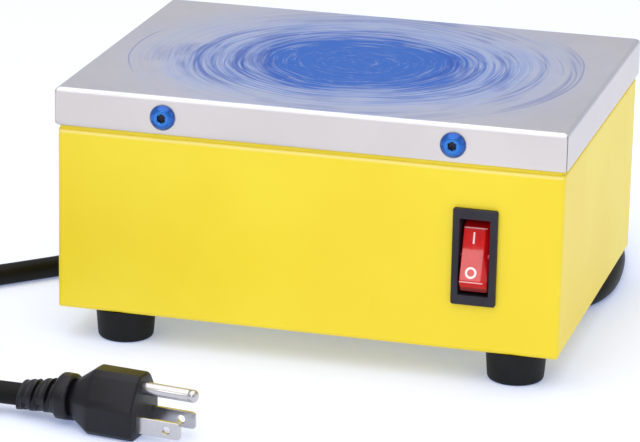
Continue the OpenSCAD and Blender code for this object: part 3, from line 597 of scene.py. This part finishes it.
cord = {
    "diameter": 8.5,
    "length": 1.6,  # metres, end to end
    "sides": 20,
    "step": 2.0,
    "toCoil": [
        (10, 105.7, 30), (10, 119, 29.3), (13.5, 134, 27), (22.5, 146.5, 22.5), (36, 152.9, 16.5),
        (51.5, 152.9, 11),
        (65.5, 147.5, 7), (76, 136, 5), (82, 121.5, 4.3), (86.2, 106.5, 4.3), (90.2, 92, 4.3), (93.2, 77, 4.3),
        (94.8, 62, 4.3), (95, 46.5, 4.3), (91.8, 31.5, 4.3), (83.5, 19.2, 4.3), (71, 11.3, 4.3), (56, 9.4, 4.3),
        (38, 11.4, 4.3), (20, 15.2, 4.3), (2, 20, 4.3), (-16, 24.8, 4.3), (-34, 29, 4.3), (-52, 31.4, 4.3),
        (-70, 31.4, 4.3), (-87, 26.4, 4.3), (-102, 16.9, 4.3), (-116.5, 4.9, 4.3), (-130, -8.5, 4.3),
        (-144, -22.3, 4.3), (-158, -36, 4.3), (-172, -49.6, 4.3), (-186, -63.2, 4.4),
        (-199, -76, 4.8), (-211, -88, 5.1),
    ],
    "coilMiddle": (-174, -125),
    "coilStart": 135,  # degrees
    "turns": 3.389,
    "turnRadii": (52.5, 43.9, 35.3, 39.6),  # two steps in, then back out on top of the lower turns
    "turnHeight": 5.1,
    "topHeight": 12.6,
    "humpHeight": 13.8,
    "toPlug": [
        (-137, -161.5, 13.4), (-124, -160.5, 12), (-110.6, -159.3, 9.8), (-97.3, -157.7, 7.9), (-84.3, -156, 7),
    ],
}


def smoothStep(t):
    t = np.clip(t, 0, 1)
    return t * t * (3 - 2 * t)


def coilTurns():
    # each flat turn keeps its radius and moves in over its last part; the third climbs onto the others
    r0, r1, r2, r3 = cord["turnRadii"]
    low, top, hump = cord["turnHeight"], cord["topHeight"], cord["humpHeight"]
    t = np.arange(0.04, cord["turns"], 1 / 24)
    radius = r0 + (r1 - r0) * smoothStep((t - 0.81) / 0.19) + (r2 - r1) * smoothStep((t - 1.81) / 0.19)
    radius = radius + (r3 - r2) * smoothStep((t - 2.55) / 0.23)
    height = low + (top - low) * smoothStep((t - 2.55) / 0.23)
    height = height + (hump - top) * smoothStep((t - 2.76) / 0.1) * (1 - smoothStep((t - 3.0) / 0.1))
    a = math.radians(cord["coilStart"]) + 2 * np.pi * t
    x0, y0 = cord["coilMiddle"]
    return np.stack([x0 + radius * np.cos(a), y0 + radius * np.sin(a), height], 1)


def leaving(last, heading):
    # straight off the coil, over the turns below it in a low hump
    s = np.array([12, 25])[:, None]
    return last * [1, 1, 0] + np.append(heading, 0) * s + [0, 0, cord["humpHeight"]]


def splineThrough(knots):
    # a cubic between each two knots, with a common slope and curvature where they meet; the slopes solve
    # a banded set of equations in the chord lengths h
    h = np.linalg.norm(np.diff(knots, axis=0), axis=1)
    n = len(knots)
    matrix, right = np.zeros((n, n)), np.zeros((n, 3))
    chord = np.diff(knots, axis=0) / h[:, None]
    i = np.arange(1, n - 1)
    matrix[i, i - 1], matrix[i, i], matrix[i, i + 1] = h[1:], 2 * (h[1:] + h[:-1]), h[:-1]
    right[i] = 3 * (h[1:, None] * chord[:-1] + h[:-1, None] * chord[1:])
    matrix[0, 0] = matrix[-1, -1] = 1
    right[0], right[-1] = chord[0] * [0, 1, 0], chord[-1]
    slope = np.linalg.solve(matrix, right)
    s = np.r_[0, np.cumsum(h)]
    at = np.linspace(0, s[-1], int(s[-1] / cord["step"]) + 1)
    k = np.clip(np.searchsorted(s, at, side="right") - 1, 0, n - 2)
    t = ((at - s[k]) / h[k])[:, None]
    hk = h[k][:, None]
    ends = (1 + 2 * t) * (1 - t) ** 2 * knots[k] + t**2 * (3 - 2 * t) * knots[k + 1]
    return ends + t * (1 - t) ** 2 * hk * slope[k] - t**2 * (1 - t) * hk * slope[k + 1]


def tube(path, radius, sides):
    # circles across the path, their two axes level and square to its direction
    ahead = unit(np.gradient(path, axis=0))
    side = unit(np.cross(ahead, [0, 0, 1]))
    above = np.cross(side, ahead)
    a = (np.arange(sides) * 2 * np.pi / sides)[None, :, None]
    return path[:, None] + radius * (np.cos(a) * side[:, None] + np.sin(a) * above[:, None])


def makeCord():
    turns = coilTurns()
    heading = unit((turns[-1] - turns[-2])[:2])
    knots = np.vstack([cord["toCoil"], turns, leaving(turns[-1], heading), cord["toPlug"]])
    path = splineThrough(knots)
    piece = makePiece(
        "powerCord", [skin(tube(path, cord["diameter"] / 2, cord["sides"]))], finishes["cord_jacket"], "case",
        ["power_cord", "power_cord_coil", "power_cord_tail"])
    print("cord length", round(float(np.linalg.norm(np.diff(path, axis=0), axis=1).sum()), 1))
    return piece, path


powerCord, cordPath = makeCord()


def makeStrainRelief():
    # a flanged boot that tapers backwards, cut by rings of grooves: radius falls with distance, and a
    # raised cosine takes each groove out of it
    low, high = nodeBox("strain_relief")
    flangeR, reach, cordR = (high[0] - low[0]) / 2, high[1] - 73.7, cord["diameter"] / 2
    x0, z0 = (low[0] + high[0]) / 2, (low[2] + high[2]) / 2
    s = np.linspace(5.2, reach - 0.8, 90)
    groove = np.clip(np.cos(2 * np.pi * (s - 7.5) / 4.2) - 0.35, 0, None) * (s > 6.2) * (s < reach - 2.5)
    body = 7.35 - 1.9 * ((s - 5.2) / (reach - 6)) ** 1.3 - 1.3 * groove
    flange = filleted(
        [(6.3, -8.6), (6.35, 0), (flangeR, 0), (flangeR, 3), (7.3, 4.4), (7.3, 5.1)], [0, 0.1, 0.4, 0.9, 0.5, 0])
    tip = filleted([(body[-1], s[-1]), (body[-1] - 0.1, reach), (cordR + 0.02, reach)], [0, 0.5, 0])[1:]
    bore = [(cordR + 0.02, -8.6)]
    profile = np.vstack([flange, np.stack([body, s], 1), tip, bore])
    shape = placed(skin(lathe(profile, 56), closed=True), (x0, 73.7, z0), (1, 0, 0), (0, 0, -1), (0, 1, 0))
    return makePiece("strainRelief", [shape], finishes["cord_jacket"], "case", ["strain_relief"])


def makeCordTie():
    # a hook-and-loop band round the coil's bundle: round-cornered loops, thick enough to be cut from sheet
    angle, middle = math.radians(215), 44.0
    out = np.array([math.cos(angle), math.sin(angle), 0])
    along = np.array([-math.sin(angle), math.cos(angle), 0])
    halfW, halfH, width, thick, corner = 13.75, 8.7, 5.8, 0.9, 5.2
    rim = filleted([(-width, 0), (width, 0), (width, thick), (-width, thick)], 0.3, 3, closed=True)
    loops = rectLoops(halfW - thick + rim[:, 1], halfH - thick + rim[:, 1], corner - thick + rim[:, 1], 8, (), 5)
    points = np.concatenate([loops, np.broadcast_to(rim[:, :1, None], (*loops.shape[:2], 1))], -1)
    base = np.array([*cord["coilMiddle"], 0]) + out * middle + [0, 0, halfH + 0.05]
    band = placed(skin(points, closed=True), base, out, (0, 0, 1), along)
    tail = rectLoops(np.array([0.5, 0.9, 0.9, 0.5]) + 5.2, np.array([0.1, 0.35, 0.35, 0.1]), 0.1, 4)
    across = np.broadcast_to(np.array([-5.5, -5.2, 5.2, 5.5])[:, None, None], (*tail.shape[:2], 1))
    tail = np.concatenate([tail, across], -1)
    flap = placed(skin(tail), base + np.array([0, 0, halfH + 0.2]) + out * 2, out, (0, 0, 1), along)
    return makePiece("cordTie", [band, flap], finishes["tie_nylon"], "case", ["cord_tie"])


# plug

plug = {
    "place": (-34.6, -163, 0),
    "turn": -8,  # degrees about Z; the pins point along +X before it
    "section": [(-9.5, 0), (9.5, 0), (11.5, 2), (11.5, 11), (10.6, 13.5), (5.5, 21.5), (3.5, 23),
                (-3.5, 23), (-5.5, 21.5), (-10.6, 13.5), (-11.5, 11), (-11.5, 2)],
    "length": 18.5,
    "middle": 9.2,
    "collar": (-28.0, -34.0, 9.0),  # front, back and radius
    "neck": (17.2, 6.9, 5.6, 7.8),  # length, radius at its root and end, and droop in degrees
    "blade": (17.5, 1.52, 6.35),
    "bladePitch": 12.7,
    "bladeMiddle": 5.8,
    "bladeHole": (5.6, 1.6),  # distance from the tip, radius
    "pin": (21.0, 2.4, 17.7),  # length, radius, height
    "inside": 8.0,  # how far the metal goes on into the moulding
}
turned = math.radians(plug["turn"])
plugAxes = [(math.cos(turned), math.sin(turned), 0), (-math.sin(turned), math.cos(turned), 0), (0, 0, 1)]


def toPlug(shape):
    return placed(shape, plug["place"], *plugAxes)


def makePlugBody():
    # rings across the plug's length: each point lies between the outline and a circle of the ring's radius,
    # (1-s) outline + s circle, and on the neck each ring leans with the droop
    outline = filleted(plug["section"], 0.7, 4, closed=True)
    halfway = (outline + np.roll(outline, -1, 0)) / 2
    outline = np.concatenate([outline[:, None], halfway[:, None]], 1).reshape(-1, 2)
    offset = outline - [0, plug["middle"]]
    far, angle = np.linalg.norm(offset, axis=1), np.arctan2(offset[:, 1], offset[:, 0])
    front, back, collarR = plug["collar"]
    rear = -plug["length"]
    flare = np.linspace(0, 1, 9)
    body = [(0, 0, 1, 0.9), (-0.12, 0, 1, 0.45), (-0.45, 0, 1, 0.12), (-0.9, 0, 1, 0), (rear + 0.5, 0, 1, 0)]
    body += [(rear + (front - rear) * t, t, 6.9, 0.12 * (t == 0)) for t in flare]
    body += [(front, 1, 7.6, 0), (front - 0.15, 1, 8.4, 0), (front - 0.7, 1, collarR - 0.1, 0)]
    body += [(front - 1.5, 1, collarR, 0), (back + 1.6, 1, collarR, 0), (back + 0.8, 1, collarR - 0.15, 0)]
    body += [(back + 0.2, 1, 8.3, 0), (back, 1, 7.4, 0)]
    at, share, size, inset = np.array(body, float).T[:, :, None]
    radius = (1 - share) * (far - inset) + share * size
    rings = np.stack([at + 0 * angle, radius * np.cos(angle), plug["middle"] + radius * np.sin(angle)], -1)
    length, root, end, droop = plug["neck"]
    s = np.linspace(0.15, length - 0.5, 60)[:, None]
    upper = smoothStep((np.sin(angle) + 0.35) / 0.25)  # the grooves alternate over and under the neck
    dip = {k: np.clip(1 - ((s - k) / 1.05) ** 4, 0, 1) for k in (3.7, 7.3, 9.8, 13.3)}
    cut = (dip[3.7] + dip[9.8]) * upper + (dip[7.3] + dip[13.3]) * (1 - upper)
    bulge = 0.35 * np.sin(np.pi * s / 3.05) ** 2
    neckR = root + (end - root) * s / length + bulge - 1.7 * cut
    close = np.array([[end - 0.3], [end - 0.8]]) + 0 * angle
    neckR = np.vstack([neckR + 0 * angle, close])
    s = np.vstack([s, [[length - 0.1], [length]]])
    lean = math.radians(droop)
    x = back + 1 - s * math.cos(lean) + neckR * np.sin(angle) * math.sin(lean)
    z = plug["middle"] - s * math.sin(lean) + neckR * np.sin(angle) * math.cos(lean)
    neck = np.stack([x, neckR * np.cos(angle), z], -1)
    keep = s[:, 0] > 1.4
    shape = toPlug(skin(np.concatenate([rings, neck[keep]])))
    return makePiece("plugBody", [shape], finishes["plug_moulding"], "case", ["plug_body"], 40)


def makeBlades():
    # a flat blade is a closed band: outline, chamfer and hole on one face, and the same back on the other
    length, thick, height = plug["blade"]
    fromTip, holeR = plug["bladeHole"]
    tip = length - fromTip
    outline = rectLoops([(length + plug["inside"]) / 2], [height / 2], [1.3], 6, (), 10)[0]
    outline = outline + [(length - plug["inside"]) / 2 - tip, 0]
    taper = np.clip((outline[:, 0] - fromTip + 2.4) / 2.4, 0, 1)[:, None]  # the tip thins towards its end
    angle = np.arctan2(outline[:, 1], outline[:, 0])
    hole = np.stack([np.cos(angle), np.sin(angle)], 1)
    rings = []
    for side in (1, -1):
        edge = np.column_stack([outline, side * (thick / 2 - 0.18 - 0.25 * taper)])
        chamfered = outline - 0.18 * np.sign(outline) * (np.abs(outline) > 1)
        face = np.column_stack([chamfered, side * (thick / 2 - 0.25 * taper)])
        lip = np.column_stack([hole * (holeR + 0.15), np.full(len(hole), side * thick / 2)])
        wall = np.column_stack([hole * holeR, np.full(len(hole), side * (thick / 2 - 0.12))])
        rings += [edge, face, lip, wall] if side > 0 else [wall, lip, face, edge]
    band = skin(np.array(rings), closed=True)
    blades = [
        toPlug(placed(
            band, (tip, s * plug["bladePitch"] / 2, plug["bladeMiddle"]), (1, 0, 0), (0, 0, 1), (0, -1, 0)))
        for s in (-1, 1)
    ]
    return makePiece("plugBlades", blades, finishes["nickel_plate"], "case", ["plug_blades"], 30)


def makeGroundPin():
    # a turned pin with a rounded nose and a faint tube seam round its foot
    length, radius, height = plug["pin"]
    nose = np.linspace(0, np.pi / 2, 9)
    profile = [(radius, -plug["inside"]), (radius, 0.3), (radius, length - 3.2), (radius - 0.06, length - 3.1),
               (radius - 0.06, length - 2.9), (radius, length - 2.8)]
    tip = np.stack([0.9 + (radius - 0.9) * np.cos(nose), length - 1.6 + 1.6 * np.sin(nose)], 1)
    shape = skin(lathe(np.vstack([profile, tip]), 40))
    shape = toPlug(placed(shape, (0, 0, height), (0, 1, 0), (0, 0, 1), (1, 0, 0)))
    return makePiece(
        "groundPin", [shape], finishes["nickel_plate"], "case", ["plug_ground_pin"], 50)


strainRelief, cordTie, plugBody = makeStrainRelief(), makeCordTie(), makePlugBody()
plugBlades, groundPin = makeBlades(), makeGroundPin()
cordPath[0] * mm
(cordPath * mm).tolist()


# top cover

cover = {
    "bend": 2.0,
    "sheet": 1.0,
    "corner": 0.8,
    "seamDepth": 0.75,
    "flangeRound": 1.6,  # radius of the lower corners of the four flanges
    "near": (0.12, 0.35, 0.65, 0.95, 1.3, 1.8, 2.6, 6, 14),
    "between": 5,
}


def makeTopCover():
    # round-cornered loops from the middle of the plate over the bend, down the flange, round its lip and
    # back up inside; each corner has a V seam, and the flange ends are quarter circles at the bottom
    low, high = nodeBox("top_cover")
    top, foot, bend, sheet = high[2], low[2], cover["bend"], cover["sheet"]
    a = np.linspace(0, np.pi / 2, 9)
    over = np.stack([bend - bend * np.sin(a), top - bend + bend * np.cos(a)], 1)
    under = np.stack([bend - (bend - sheet) * np.sin(a), top - bend + (bend - sheet) * np.cos(a)], 1)[::-1]
    down = [(0, top - 2.5), (0, top - 3.2), (0, top - 4), (0, top - 9), (0, foot + 2.2), (0, foot + 0.45),
            (0.06, foot + 0.2), (0.25, foot + 0.04), (0.5, foot), (0.8, foot + 0.05), (0.97, foot + 0.25),
            (sheet, foot + 2.2), (sheet, top - 4)]
    plate, inner = [(30, top), (10, top), (3.4, top), (2.3, top)], [(3.4, top - sheet), (30, top - sheet)]
    rows = np.vstack([plate, over, down, under, inner])
    inset, z = rows.T
    steps, near, r = 9, np.array(cover["near"]), cover["corner"]
    loops = rectLoops(high[0] - inset, high[1] - inset, r, steps, near, cover["between"])
    quarter = r * np.pi / 4
    turn = np.abs(np.linspace(-1, 1, steps)) * quarter
    side = np.full(cover["between"], 40.0)
    fromSeam = np.tile(np.r_[turn, near + quarter, side, near[::-1] + quarter], 4)
    reach = np.clip(cover["flangeRound"] - fromSeam, 0, None)
    lift = cover["flangeRound"] - np.sqrt(cover["flangeRound"] ** 2 - reach**2)
    share = smoothStep((foot + 2.2 - z) / 2.0)[:, None]
    height = z[:, None] + lift * share
    outside = (inset < 1.9) & (np.arange(len(z)) < len(over) + 4 + 8)
    notch = np.exp(-(((z - (top - 2.6)) / 0.9) ** 2))
    depth = outside * (cover["seamDepth"] * (z < top - 1.2) + 0.5 * notch)
    pushed = (fromSeam < 0.05)[None, :] * depth[:, None]
    sign = np.sign(loops)
    loops = loops - sign * pushed[..., None] / math.sqrt(2)
    return makePiece(
        "topCover", [skin(np.concatenate([loops, height[..., None]], -1))], finishes["brushed_steel"], "case",
        ["top_cover"], 32)


def makeCoverScrews():
    # button heads turned about their own axis, with a six-sided socket: its radius is
    # across / cos(the angle from the nearest flat's middle)
    screw = {"dome": 2.35, "ring": 2.55, "socket": 1.5, "depth": 1.9, "length": 9.0}
    a = np.arange(72) * 2 * np.pi / 72
    hexed = 1 / np.cos((a + np.pi / 6) % (np.pi / 3) - np.pi / 6)
    r = np.linspace(4.93, screw["ring"], 9)
    bulge = screw["dome"] * (1 - ((r - screw["ring"]) / (5.35 - screw["ring"])) ** 2.2)
    dome = np.stack([r, bulge], 1)
    end = -screw["length"]
    shank = [(2.2, end), (2.45, end + 0.3), (2.45, 0.02), (4.8, 0.02), (4.95, 0.12), (4.97, 0.3)]
    ring = [(screw["ring"] - 0.12, screw["dome"] + 0.02), (screw["socket"] + 0.42, screw["dome"] - 0.08)]
    turnedPart = lathe(np.vstack([shank, dome, ring]), 72)
    s, d = screw["socket"], screw["dome"]
    sockets = [(s + 0.08, d - 0.28), (s, d - 0.45), (s, d - screw["depth"]), (0.25, d - screw["depth"] - 0.3)]
    hexPart = np.stack([
        np.stack([size * hexed * np.cos(a), size * hexed * np.sin(a), height + 0 * a], 1)
        for size, height in sockets])
    shape = skin(np.concatenate([turnedPart, hexPart]))
    low, high = nodeBox("cover_screws")
    x, z = (high[0] - low[0]) / 2 - 5, (high[2] + low[2]) / 2
    y = nodeBox("top_cover")[1][1]
    heads = [
        placed(shape, (sx * x, sy * y, z), (-sy, 0, 0), (0, 0, 1), (0, sy, 0))
        for sx in (-1, 1) for sy in (-1, 1)]
    return makePiece(
        "coverScrews", heads, finishes["blue_anodised"], "case", ["cover_screws"], 30)


def makeFeet():
    # four turned feet: a tapered skirt with a soft lower edge, and a counterbore for the screw
    low, high = nodeBox("rubber_feet")
    profile = filleted(
        [(4.6, 0), (10.75, 0), (11.05, 3), (11.7, 11.4), (11.7, 12.5), (2.2, 12.5), (2.2, 6), (4.6, 6)],
        [0.3, 1.5, 0.8, 0.3, 0.35, 0, 0, 0.3], 7, closed=True)
    shape = skin(lathe(profile, 72), closed=True)
    rear, y = -low[0] - 11.7, high[1] - 11.7  # the front pair sits further to the right than the rear pair
    shift = high[0] - 11.7 - rear
    feet = [
        placed(shape, (sx * rear + shift * (sy < 0), sy * y, 0), (1, 0, 0), (0, 1, 0), (0, 0, 1))
        for sx in (-1, 1) for sy in (-1, 1)]
    return makePiece("rubberFeet", feet, finishes["foot_rubber"], "case", ["rubber_feet"], 40)


# switch


def makeSwitchHousing():
    # loops from the back of the barrel, over the bezel's rounded rim and into the window; the whole piece is
    # moved a little left of and below its CAD solid
    low, high = nodeBox("switch_housing")
    x0, z0, front = (low[0] + high[0]) / 2, (low[2] + high[2]) / 2, low[1]
    wide, tall = (high[0] - low[0]) / 2, (high[2] - low[2]) / 2
    seat = front + 1.8
    rows = np.array([
        (6.6, 16.0, 0.5, high[1]), (6.9, 16.3, 0.5, high[1] - 0.4), (6.9, 16.3, 0.5, seat + 0.02),
        (wide, tall, 0.9, seat), (wide, tall, 0.9, front + 0.55), (wide - 0.08, tall - 0.08, 0.9, front + 0.25),
        (wide - 0.3, tall - 0.3, 0.8, front + 0.06), (wide - 0.6, tall - 0.6, 0.7, front),
        (6.35, 15.45, 0.5, front + 0.02), (5.95, 15.05, 0.4, front + 0.12), (5.82, 14.92, 0.35, front + 0.4),
        (5.8, 14.9, 0.35, front + 1.5), (5.8, 14.9, 0.35, front + 15), (5.6, 14.7, 0.35, front + 15.4)])
    loops = rectLoops(rows[:, 0], rows[:, 1], rows[:, 2], 6, (), 2)
    points = np.concatenate([loops, np.broadcast_to(rows[:, 3:, None], (*loops.shape[:2], 1))], -1)
    shape = placed(
        skin(points), (x0 + housingShift[0], 0, z0 + housingShift[1]), (1, 0, 0), (0, 0, 1), (0, 1, 0))
    return makePiece(
        "switchHousing", [shape], finishes["switch_plastic"], "case", ["switch_housing"], 35)


def makeRocker():
    # loops from the rocker's back to its face, in its own axes at mid travel, then tipped about the pivot;
    # the face is dished by dish * (1 - (z / half height)^2)
    wide, tall = rocker["faceHalf"]
    waistW, waistH = rocker["waist"]
    face, back = -rocker["face"], rocker["back"]
    rows = np.array([
        (4.9, 12.3, 0.6, back, 0), (5.35, 12.7, 0.8, back - 0.3, 0), (waistW, waistH - 0.35, 0.8, 1.5, 0),
        (waistW, waistH, 0.8, 1.1, 0), (waistW - 0.1, waistH - 0.25, 0.8, 0.85, 0),
        (waistW - 0.12, waistH - 1.35, 0.8, -0.4, 0), (waistW - 0.4, waistH - 2.05, 0.8, -1.3, 0.4),
        (wide + 0.15, tall + 0.3, 0.7, face + 0.42, 0.9), (wide, tall + 0.06, 0.6, face + 0.16, 1),
        (wide - 0.16, tall - 0.14, 0.55, face + 0.03, 1), (wide - 0.4, tall - 0.4, 0.5, face, 1),
        (wide - 1.4, tall - 1.4, 0.5, face, 1), (wide - 2.4, tall - 2.6, 0.5, face, 1), (0.8, 6, 0.4, face, 1)])
    loops = rectLoops(rows[:, 0], rows[:, 1], rows[:, 2], 5, (), 8)
    dish = rocker["dish"] * (1 - (loops[..., 1] / tall) ** 2) * rows[:, 4:]
    points = np.concatenate([loops, (rows[:, 3:4] + dish)[..., None]], -1)
    points[..., 0] -= rocker["lean"] * rows[:, 4:]  # the face is moved left of its CAD solid
    sine, cosine = math.sin(rockerTilt), math.cos(rockerTilt)
    tipped = placed(skin(points), rockerPivot, (1, 0, 0), (0, sine, cosine), (0, cosine, -sine))
    studs = skin(lathe(np.array([(1.0, 0), (1.2, 0.2), (1.2, 13.4), (1.0, 13.6)]), 32))
    studs = placed(studs, rockerPivot - [6.8, 0, 0], (0, 1, 0), (0, 0, 1), (1, 0, 0))
    return makePiece(
        "switchRocker", [tipped, studs], finishes["rocker_red"], "rocker", ["switch_rocker"], 30)


makeTopCover()
makeCoverScrews()
makeFeet()
makeSwitchHousing()
makeRocker()


# floor and light

studio = {
    "floor": (0.76, 0.77, 0.78),
    "floorGlow": (0.18, 0.23, 0.39),  # light given off by the floor itself, to keep the shadows pale
    "sky": (0.97, 0.97, 1.0),
    "skyStrength": 0.60,
    # name: centre, aim, size, watts, colour
    "lights": {
        "overhead": ((-0.1, -0.35, 1.7), (0, 0, 0), (2.2, 3.0), 27, (1, 1, 1)),
        "frontBox": ((-0.36, -1.66, 0.63), (0.03, 0, 0.05), (0.7, 0.36), 2.4, (1, 1, 1)),
        "sideBox": ((1.6, -0.3, 0.7), (0, 0, 0.05), (1.0, 0.9), 2.1, (1, 1, 1)),
    },
}


def makeStudio():
    mesh = bpy.data.meshes.new("studioFloor")
    half = 4.0
    corners = [(-half, -half, 0), (half, -half, 0), (half, half, 0), (-half, half, 0)]
    mesh.from_pydata(corners, [], [(0, 1, 2, 3)])
    floor = bpy.data.objects.new("studioFloor", mesh)
    scene.collection.objects.link(floor)
    paper = Finish(
        "floorPaper", Base_Color=studio["floor"], Specular_IOR_Level=0.1, Emission_Color=studio["floorGlow"],
        Emission_Strength=1.0)
    mesh.materials.append(paper.finish(Roughness=paper.between(paper.noise(4, 2), 0.75, 0.9)))
    world = bpy.data.worlds.new("studioSky")
    world.use_nodes = True
    sky = world.node_tree.nodes["Background"]
    sky.inputs["Color"].default_value = (*studio["sky"], 1)
    sky.inputs["Strength"].default_value = studio["skyStrength"]
    scene.world = world
    for name, (centre, aim, size, watts, tint) in studio["lights"].items():
        lamp = bpy.data.lights.new(name, "AREA")
        lamp.shape, lamp.size, lamp.size_y = "RECTANGLE", *size
        lamp.energy, lamp.color = watts, tint
        holder = bpy.data.objects.new(name, lamp)
        scene.collection.objects.link(holder)
        back = unit(np.array(centre, float) - aim)
        side = unit(np.cross([0.01, 0.02, 1], back))
        turnedTo = np.eye(4)
        turnedTo[:3, :3] = np.stack([side, np.cross(back, side), back], 1)
        turnedTo[:3, 3] = centre
        holder.matrix_world = Matrix(turnedTo.tolist())
        holder.visible_camera = False


makeStudio()
print("studio lit")
